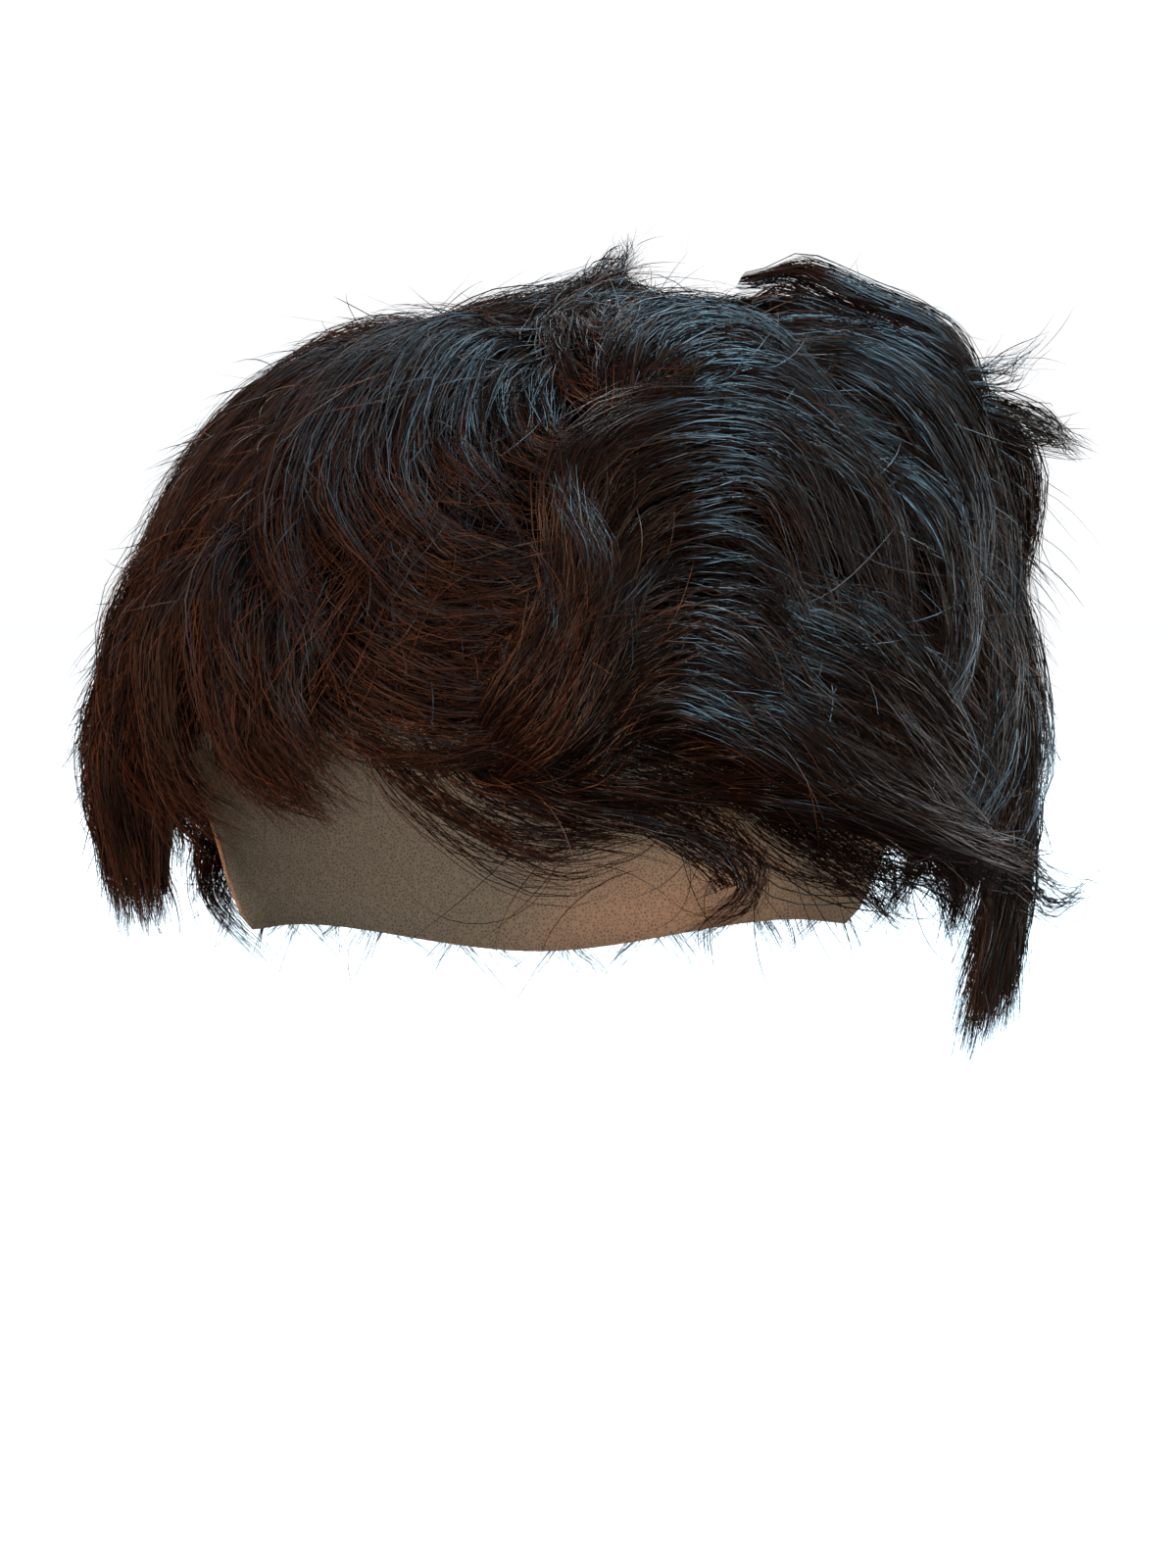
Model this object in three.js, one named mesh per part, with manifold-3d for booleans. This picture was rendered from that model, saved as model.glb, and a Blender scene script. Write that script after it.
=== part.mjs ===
// A short wavy wig: hair combed into overlapping locks on a thin lace cap, for an adult head.
// Millimetres, +Z up. The forehead side looks along -Y and the wearer's left is +X.
// The origin is the inside of the cap at the crown.

import * as THREE from "three";
import Module from "manifold-3d";

const FULL_TURN = 360;
const HALF_TURN = 180;

// Head that the cap fits: half sizes about a centre below the crown
const HEAD = { halfWidth: 77, front: 92, back: 100, dome: 95, below: 150, fullness: 0.07 };
const HEAD_CENTRE = new THREE.Vector3(0, 0, -HEAD.dome);

// Lace cap
const CAP_WALL = 1.0;
const CAP_ROUNDS = 24;
const CAP_RINGS = 6;

// Lower edge of the cap, as an angle from the crown, the same on both sides
const CAP_EDGE = [
  { place: "forehead", azimuth: 0, polar: 71 },
  { place: "temple", azimuth: 42, polar: 70 },
  { place: "front of ear tab", azimuth: 64, polar: 74 },
  { place: "ear tab", azimuth: 80, polar: 91 },
  { place: "ear", azimuth: 103, polar: 80 },
  { place: "behind ear", azimuth: 124, polar: 98 },
  { place: "nape", azimuth: 180, polar: 103 },
];

// Hair backing that carries the locks, a little above the cap
const GAP = 0.3;
const CAP_CLEARANCE = 0.8;
const BACKING_HEIGHT = 7.5;
const BACKING_EDGE_INSET = 1.5;

// Lock sections: sides round a lock, steps along it, and its fullness from root to tip
const LOCK_SIDES = 5;
const LOCK_STEPS = 5;
const ROOT_FULLNESS = 0.7;
const FULL_FROM = 0.35;
const TAPER_POWER = 2.6;
const UNDERSIDE_POWER = 4;
const LOCK_FOOT = 5.5;

// Locks, one row each. root, rise, fall and tip are [azimuth, polar, height over the cap's inside].
// Azimuth is 0 at the forehead and grows toward the wearer's left; polar is 0 at the crown.
const LOCKS = [
  // front crest, swept up from the hairline and over to the wearer's left
  { root: [-4, 63, 10], rise: [0, 50, 18], fall: [21, 48.5, 20], tip: [33, 67, 13], width: 15, thick: 9 },
  { root: [-3, 63, 10], rise: [4, 54, 18], fall: [18, 53, 19], tip: [27, 68, 12], width: 13, thick: 9 },
  { root: [-3, 67, 10], rise: [5, 60, 15], fall: [15, 59.5, 15], tip: [23, 70, 11], width: 14, thick: 8 },
  { root: [-4, 71, 10], rise: [4, 66.5, 17], fall: [12, 67, 17], tip: [22, 75, 13], width: 11, thick: 8 },
  // ridge that the crest rises from
  { root: [-13, 75, 9], rise: [-6, 71, 14], fall: [-0.5, 64, 18], tip: [4, 57.5, 19], width: 14, thick: 10 },
  { root: [-15, 73.5, 9], rise: [-9, 68, 13], fall: [-5, 63, 16], tip: [-4, 57, 17], width: 11, thick: 8 },
  // long sweep along the hairline, ending in a flick past the wearer's left temple
  { root: [-7, 74.5, 10], rise: [5, 69.5, 17], fall: [17, 73.5, 17], tip: [36, 81, 14], width: 12, thick: 8 },
  { root: [1, 73, 10], rise: [13, 71, 17], fall: [25, 77, 17], tip: [46, 83, 16], width: 12, thick: 8 },
  { root: [14, 76, 12], rise: [34, 82, 15], fall: [56, 88, 19], tip: [66, 87, 25], width: 10, thick: 7 },
  // trough between the ridge and the side, combed level
  { root: [-32, 58, 10], rise: [-23, 65, 9.5], fall: [-12, 66, 9.5], tip: [-2, 64, 10], width: 18, thick: 8 },
  { root: [-35, 66, 10], rise: [-25, 70, 10], fall: [-15, 72, 10], tip: [-5, 71, 11], width: 12, thick: 8 },
  // curl that turns from the crown round to the trough
  { root: [-8, 32, 14], rise: [-17, 38, 15], fall: [-17.5, 48, 13], tip: [-6, 54, 11], width: 12, thick: 8 },
  { root: [-11, 29, 14], rise: [-24, 37, 16], fall: [-25, 50, 13], tip: [-11, 58, 10], width: 13, thick: 9 },
  { root: [-15, 26, 14], rise: [-31, 36, 15], fall: [-33, 51, 13], tip: [-20, 62, 11], width: 14, thick: 9 },
  { root: [-22, 25, 14], rise: [-39, 38, 15], fall: [-40, 55, 13], tip: [-28, 67, 11], width: 15, thick: 9 },
  { root: [-4, 33, 13], rise: [-9, 40, 12], fall: [-6, 46, 11], tip: [4, 47, 13], width: 14, thick: 8 },
  // second crest, further back
  { root: [3, 48, 10], rise: [9, 40, 19], fall: [25, 39, 20], tip: [42, 51, 15], width: 17, thick: 9 },
  { root: [4, 42, 12], rise: [10, 32, 15], fall: [30, 31, 16], tip: [53, 47, 16], width: 15, thick: 9 },
  // fine fringe on the forehead
  { root: [-30, 69, 7], rise: [-20, 77, 6], fall: [-6, 82, 5], tip: [6, 79, 5], width: 7, thick: 4 },
  { root: [-22, 70, 8], rise: [-13, 76, 7.5], fall: [-3, 79, 7], tip: [8, 79.5, 7], width: 9, thick: 5 },
  { root: [-3, 75, 9], rise: [7, 79, 9], fall: [14.5, 84, 9], tip: [8, 88, 7], width: 8, thick: 5 },
  { root: [-8, 73, 9], rise: [3, 74, 10], fall: [14, 75.5, 10], tip: [26, 79, 10], width: 13, thick: 7 },
  { root: [10, 75, 10], rise: [18, 81, 10], fall: [28, 85, 10], tip: [38, 90, 8], width: 10, thick: 6 },
  { root: [19, 76, 10], rise: [27, 81, 12], fall: [37, 85, 13], tip: [46, 91, 10], width: 10, thick: 6 },
  // wearer's left side
  { root: [34, 33, 18], rise: [49, 42, 19], fall: [53, 54, 17], tip: [46, 67, 13], width: 15, thick: 9 },
  { root: [44, 29, 20], rise: [61, 42, 22], fall: [65, 56, 18], tip: [57, 71, 14], width: 16, thick: 10 },
  { root: [37, 46, 15], rise: [44, 55, 16], fall: [44, 65, 14], tip: [36, 75, 12], width: 14, thick: 8 },
  { root: [50, 55, 14], rise: [54, 66, 14], fall: [50, 75, 13], tip: [41, 83, 12], width: 14, thick: 8 },
  { root: [62, 54, 17], rise: [67, 66, 16], fall: [63, 77, 15], tip: [52, 86, 13], width: 15, thick: 9 },
  { root: [78, 50, 25], rise: [81, 62, 16], fall: [78, 75, 11], tip: [68, 87, 10], width: 16, thick: 9 },
  { root: [25, 61, 9], rise: [33, 68, 11], fall: [40, 75, 12], tip: [49, 82, 12], width: 17, thick: 8 },
  { root: [54, 60, 14], rise: [57, 74, 12], fall: [57, 86, 8], tip: [55, 97, 4], width: 15, thick: 8 },
  // wearer's right side
  { root: [-46, 50, 13], rise: [-47, 61, 14], fall: [-41, 71, 11], tip: [-29, 75.5, 8], width: 14, thick: 8 },
  { root: [-55, 52, 13], rise: [-57, 65, 14], fall: [-52, 74, 11], tip: [-41, 77.5, 8], width: 14, thick: 8 },
  { root: [-66, 52, 14], rise: [-69, 65, 14], fall: [-64, 75, 12], tip: [-53, 79, 9], width: 14, thick: 8 },
  { root: [-38, 28, 14], rise: [-50, 40, 13], fall: [-57, 54, 12], tip: [-56, 69, 11], width: 20, thick: 9 },
  { root: [-62, 25, 12], rise: [-73, 40, 11], fall: [-78, 55, 11], tip: [-76, 74, 11], width: 18, thick: 9 },
  { root: [-82, 24, 12], rise: [-91, 40, 11], fall: [-94, 56, 11], tip: [-90, 76, 11], width: 20, thick: 9 },
  // ear tabs
  { root: [-76, 62, 12], rise: [-75, 74, 12], fall: [-74, 84, 11], tip: [-71, 92, 8], width: 17, thick: 8 },
  { root: [-87, 62, 11], rise: [-86, 74, 12], fall: [-83, 84, 12], tip: [-79, 92, 10], width: 16, thick: 8 },
  { root: [62, 71, 12], rise: [63, 82, 11], fall: [62, 92, 8], tip: [60, 101, 5], width: 17, thick: 8 },
  { root: [72, 70, 12], rise: [72, 83, 10], fall: [70, 93, 8], tip: [67, 102, 5], width: 18, thick: 8 },
  { root: [82, 68, 13], rise: [80, 80, 11], fall: [77, 91, 8], tip: [73, 100, 6], width: 17, thick: 8 },
  // crown and the loose curls behind it
  { root: [-64, 24, 8], rise: [-28, 15, 11], fall: [35, 13, 17], tip: [75, 20, 5], width: 15, thick: 8 },
  { root: [40, 20, 10], rise: [70, 27, 18], fall: [80, 38, 25], tip: [86, 52, 28], width: 17, thick: 10 },
  { root: [118, 22, 26], rise: [110, 31, 31], fall: [105, 41, 34], tip: [100, 56, 27], width: 24, thick: 10 },
  { root: [72, 37, 20], rise: [79, 42, 25], fall: [83, 44, 32], tip: [86, 44, 43], width: 9, thick: 6 },
  { root: [72, 41, 20], rise: [81, 46.5, 26], fall: [86, 50, 32], tip: [90, 53, 38], width: 15, thick: 10 },
  { root: [90, 46, 27], rise: [93, 56, 26], fall: [94, 67, 14], tip: [92, 80, 10], width: 18, thick: 10 },
];

// Plain rows of locks over the back and the nape. Each station is [share of the cap's depth, height].
const BACK_ROWS = [
  { root: [0.2, 13], rise: [0.42, 16], fall: [0.68, 15], tip: [0.94, 10], width: 44, thick: 9, count: 5 },
  { root: [0.72, 11], rise: [0.84, 11], fall: [0.95, 9], tip: [1.02, 6.5], width: 32, thick: 7, count: 6 },
];
const BACK_FROM = 108;
const BACK_TO = 252;

// Hair pieces: azimuth range and height range of each, and the piece that is set into its lower corner
const CROWN_CUT = -18;
const TAB_CUT = -62;
const NAPE_CUT = -88;
const FAR_UP = 120;
const FAR_DOWN = -220;
const HAIR_PIECES = [
  { name: "hair_top", from: -HALF_TURN, to: HALF_TURN, low: CROWN_CUT, high: FAR_UP },
  { name: "hair_fringe", from: -40, to: 43, low: FAR_DOWN, high: CROWN_CUT },
  { name: "hair_right_side", from: -102, to: -40, low: FAR_DOWN, high: CROWN_CUT, around: "hair_right_tab" },
  { name: "hair_right_tab", from: -102, to: -64, low: FAR_DOWN, high: TAB_CUT },
  { name: "hair_left_side", from: 43, to: 102, low: FAR_DOWN, high: CROWN_CUT, around: "hair_left_tab" },
  { name: "hair_left_tab", from: 64, to: 102, low: FAR_DOWN, high: TAB_CUT },
  { name: "hair_back", from: 102, to: 258, low: NAPE_CUT, high: CROWN_CUT },
  { name: "hair_nape", from: 102, to: 258, low: FAR_DOWN, high: NAPE_CUT },
];
const CUT_INSET_DEGREES = 0.12;
const REACH = 300;
const ROOM_SIDES = 3;

// Looks
const LACE_LOOK = { color: 0xb4a38c, roughness: 0.9, metalness: 0 };
const HAIR_LOOK = { color: 0x2a1c17, roughness: 0.5, metalness: 0 };

// Unit direction from the head's centre
function direction(azimuth, polar) {
  const a = THREE.MathUtils.degToRad(azimuth);
  const p = THREE.MathUtils.degToRad(polar);
  return new THREE.Vector3(Math.sin(p) * Math.sin(a), -Math.sin(p) * Math.cos(a), Math.cos(p));
}

// Half sizes of the head on the side that a direction points to
function halfSizes(toward) {
  const length = toward.y < 0 ? HEAD.front : HEAD.back;
  const height = toward.z > 0 ? HEAD.dome : HEAD.below;
  return new THREE.Vector3(HEAD.halfWidth, length, height);
}

// Outward normal of the head near a point
function normalAt(point) {
  const offset = point.clone().sub(HEAD_CENTRE);
  const half = halfSizes(offset);
  return offset.divide(half).divide(half).normalize();
}

// Point at a height over the head, which is fuller than an ellipsoid half way up the dome
function onHead(azimuth, polar, height) {
  const toward = direction(azimuth, polar);
  const doubled = 2 * toward.z * Math.sqrt(1 - toward.z * toward.z);
  const swell = toward.z > 0 ? 1 + HEAD.fullness * doubled * doubled : 1;
  const base = toward.multiply(halfSizes(toward)).multiplyScalar(swell).add(HEAD_CENTRE);
  return base.addScaledVector(normalAt(base), height);
}

// Polar angle of the cap's edge at an azimuth, eased between the named places
function capEdge(azimuth) {
  const turned = Math.abs(THREE.MathUtils.euclideanModulo(azimuth + HALF_TURN, FULL_TURN) - HALF_TURN);
  const next = CAP_EDGE.findIndex((place) => place.azimuth >= turned);
  const after = CAP_EDGE[next];
  const before = CAP_EDGE[Math.max(next - 1, 0)];
  const share = THREE.MathUtils.smoothstep(turned, before.azimuth, after.azimuth);
  return before.polar + (after.polar - before.polar) * share;
}

// Closed solid from points and triangles
function solid(wasm, points, triangles) {
  const vertProperties = new Float32Array(points.flatMap((point) => point.toArray()));
  const triVerts = new Uint32Array(triangles.flat());
  return new wasm.Manifold(new wasm.Mesh({ numProp: 3, vertProperties, triVerts }));
}

// Shell over the head between two heights, from the crown down to an edge
function headShell(wasm, inner, outer, edgeOf) {
  const points = [onHead(0, 0, inner), onHead(0, 0, outer)];
  for (let ring = 1; ring <= CAP_RINGS; ring += 1) {
    for (let round = 0; round < CAP_ROUNDS; round += 1) {
      const azimuth = (FULL_TURN * round) / CAP_ROUNDS;
      const polar = (edgeOf(azimuth) * ring) / CAP_RINGS;
      points.push(onHead(azimuth, polar, inner), onHead(azimuth, polar, outer));
    }
  }
  const at = (ring, round, side) => 2 + ((ring - 1) * CAP_ROUNDS + (round % CAP_ROUNDS)) * 2 + side;
  const triangles = [];
  for (let round = 0; round < CAP_ROUNDS; round += 1) {
    triangles.push([0, at(1, round + 1, 0), at(1, round, 0)]);
    triangles.push([1, at(1, round, 1), at(1, round + 1, 1)]);
    for (let ring = 1; ring < CAP_RINGS; ring += 1) {
      const [a, b] = [at(ring, round, 0), at(ring, round + 1, 0)];
      const [c, d] = [at(ring + 1, round, 0), at(ring + 1, round + 1, 0)];
      triangles.push([a, b, d], [a, d, c], [a + 1, d + 1, b + 1], [a + 1, c + 1, d + 1]);
    }
    const [near, far] = [at(CAP_RINGS, round, 0), at(CAP_RINGS, round + 1, 0)];
    triangles.push([near, far, far + 1], [near, far + 1, near + 1]);
  }
  return solid(wasm, points, triangles);
}

// Height of a lock over the cap part of the way along, even between its stations
function heightAt(stations, along) {
  const place = along * (stations.length - 1);
  const before = Math.min(Math.floor(place), stations.length - 2);
  return THREE.MathUtils.lerp(stations[before][2], stations[before + 1][2], place - before);
}

// One lock: an oval section swept along a smooth path, full near the root and pointed at the tip.
// Its underside reaches down toward the backing, as hair fills in under a lock.
function lockSolid(wasm, lock) {
  const stations = [lock.root, lock.rise, lock.fall, lock.tip];
  const path = new THREE.CatmullRomCurve3(stations.map((station) => onHead(...station)));
  const points = [path.getPoint(0)];
  for (let step = 0; step < LOCK_STEPS; step += 1) {
    const along = step / LOCK_STEPS;
    const centre = path.getPoint(along);
    const out = normalAt(centre);
    const across = path.getTangent(along).cross(out).normalize();
    const swell = THREE.MathUtils.smoothstep(along, 0, FULL_FROM);
    const full = (ROOT_FULLNESS + (1 - ROOT_FULLNESS) * swell) * (1 - along ** TAPER_POWER);
    const above = full * (lock.thick / 2);
    const foot = Math.max(heightAt(stations, along) - LOCK_FOOT, lock.thick / 2);
    const below = foot * (1 - along ** UNDERSIDE_POWER);
    for (let side = 0; side < LOCK_SIDES; side += 1) {
      const turn = (2 * Math.PI * side) / LOCK_SIDES;
      const point = centre.clone().addScaledVector(across, (Math.cos(turn) * full * lock.width) / 2);
      points.push(point.addScaledVector(out, Math.sin(turn) * (Math.sin(turn) > 0 ? above : below)));
    }
  }
  const tip = points.push(path.getPoint(1)) - 1;
  const at = (step, side) => 1 + step * LOCK_SIDES + (side % LOCK_SIDES);
  const triangles = [];
  for (let side = 0; side < LOCK_SIDES; side += 1) {
    triangles.push([0, at(0, side), at(0, side + 1)]);
    for (let step = 0; step < LOCK_STEPS - 1; step += 1) {
      const [a, b] = [at(step, side), at(step, side + 1)];
      const [c, d] = [at(step + 1, side), at(step + 1, side + 1)];
      triangles.push([a, d, b], [a, c, d]);
    }
    triangles.push([tip, at(LOCK_STEPS - 1, side + 1), at(LOCK_STEPS - 1, side)]);
  }
  return solid(wasm, points, triangles);
}

// Rows of plain locks over the back, spread evenly from ear to ear
function backLocks() {
  const locks = [];
  BACK_ROWS.forEach((row) => {
    for (let lock = 0; lock < row.count; lock += 1) {
      const share = (lock + 0.5) / row.count;
      const azimuth = BACK_FROM + (BACK_TO - BACK_FROM) * share;
      const place = ([depth, height]) => [azimuth, depth * capEdge(azimuth), height];
      const stations = ["root", "rise", "fall", "tip"].map((name) => [name, place(row[name])]);
      locks.push({ ...Object.fromEntries(stations), width: row.width, thick: row.thick });
    }
  });
  return locks;
}

// Room that a hair piece fills: an upright wedge about the head's axis, drawn in by the gap or let out
function pieceRoom(wasm, piece, drawIn) {
  const whole = piece.to - piece.from === FULL_TURN;
  const inset = whole ? 0 : CUT_INSET_DEGREES * drawIn;
  const step = (piece.to - piece.from - 2 * inset) / (whole ? ROOM_SIDES + 1 : ROOM_SIDES);
  const outline = whole ? [] : [new THREE.Vector2(0, 0)];
  for (let corner = 0; corner <= ROOM_SIDES; corner += 1) {
    const azimuth = THREE.MathUtils.degToRad(piece.from + inset + step * corner);
    outline.push(new THREE.Vector2(REACH * Math.sin(azimuth), -REACH * Math.cos(azimuth)));
  }
  const heights = [piece.low + (GAP / 2) * drawIn, piece.high - (GAP / 2) * drawIn];
  const points = heights.flatMap((z) => outline.map(({ x, y }) => new THREE.Vector3(x, y, z)));
  const count = outline.length;
  const triangles = [];
  for (let corner = 0; corner < count; corner += 1) {
    const next = (corner + 1) % count;
    triangles.push([corner, next, count + next], [corner, count + next, count + corner]);
    if (corner > 0 && next > 0) {
      triangles.push([0, next, corner], [count, count + corner, count + next]);
    }
  }
  return solid(wasm, points, triangles);
}

// Largest body of a solid that a cut has left in several
function largestBody(body) {
  return body.decompose().reduce((best, part) => (part.volume() > best.volume() ? part : best));
}

// Named mesh from a solid
function meshOf(name, body, look) {
  const { vertProperties, triVerts } = body.getMesh();
  const geometry = new THREE.BufferGeometry();
  geometry.setAttribute("position", new THREE.BufferAttribute(new Float32Array(vertProperties), 3));
  geometry.setIndex(new THREE.BufferAttribute(new Uint32Array(triVerts), 1));
  geometry.computeVertexNormals();
  const mesh = new THREE.Mesh(geometry, new THREE.MeshStandardMaterial(look));
  mesh.name = name;
  return mesh;
}

// All hair as one mass: backing and locks joined
function hairMass(wasm) {
  const edge = (azimuth) => capEdge(azimuth) - BACKING_EDGE_INSET;
  let mass = headShell(wasm, CAP_WALL + CAP_CLEARANCE, BACKING_HEIGHT, edge);
  for (const lock of [...LOCKS, ...backLocks()]) {
    mass = mass.add(lockSolid(wasm, lock));
  }
  return mass;
}

// One hair piece: its share of the mass, less the room of a piece set into it
function hairPiece(wasm, mass, piece) {
  let share = mass.intersect(pieceRoom(wasm, piece, 1));
  const inset = HAIR_PIECES.find((other) => other.name === piece.around);
  if (inset) {
    share = share.subtract(pieceRoom(wasm, inset, -1));
  }
  return largestBody(share);
}

async function buildWig() {
  const wasm = await Module();
  wasm.setup();
  const wig = new THREE.Group();
  const cap = headShell(wasm, 0, CAP_WALL, capEdge);
  wig.add(meshOf("lace_cap", cap, LACE_LOOK));
  const mass = hairMass(wasm);
  for (const piece of HAIR_PIECES) {
    wig.add(meshOf(piece.name, hairPiece(wasm, mass, piece), HAIR_LOOK));
  }
  return wig;
}

export default await buildWig();
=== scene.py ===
"""Looks of a short wavy wig: strands combed into overlapping locks on a thin lace cap.

Lengths in the tables are millimetres and angles are degrees, as in the part's source.
"""

from collections import namedtuple

import bpy
import numpy as np
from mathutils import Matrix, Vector


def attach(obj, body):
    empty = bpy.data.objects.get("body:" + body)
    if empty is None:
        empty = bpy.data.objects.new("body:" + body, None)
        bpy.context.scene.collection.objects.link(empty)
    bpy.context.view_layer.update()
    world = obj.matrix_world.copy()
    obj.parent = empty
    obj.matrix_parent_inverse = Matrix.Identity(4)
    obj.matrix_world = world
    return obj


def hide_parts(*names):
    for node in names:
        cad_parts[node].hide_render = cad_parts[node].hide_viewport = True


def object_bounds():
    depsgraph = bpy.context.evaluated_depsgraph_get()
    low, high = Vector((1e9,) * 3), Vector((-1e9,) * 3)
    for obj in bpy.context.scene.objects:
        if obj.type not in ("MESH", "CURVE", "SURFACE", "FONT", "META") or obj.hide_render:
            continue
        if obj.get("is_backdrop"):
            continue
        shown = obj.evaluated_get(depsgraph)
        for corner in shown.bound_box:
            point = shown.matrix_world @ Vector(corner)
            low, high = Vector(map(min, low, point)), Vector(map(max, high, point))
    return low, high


MM = 0.001
HALF_TURN = 180
FULL_TURN = 360
TINY = 1e-9
RANDOM_SEED = 7
RANDOM = np.random.default_rng(RANDOM_SEED)

# Head that the cap fits: half sizes about a centre below the crown
HALF_WIDTH = 77
FRONT = 92
BACK = 100
DOME = 95
BELOW = 150
FULLNESS = 0.07
CENTRE = np.array([0.0, 0.0, -DOME])

# Lower edge of the cap: azimuth from the forehead and angle from the crown, the same on both sides
EDGE_AZIMUTH = np.array([0, 42, 64, 80, 103, 124, 180])
EDGE_POLAR = np.array([71, 70, 74, 91, 80, 98, 103])

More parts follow.
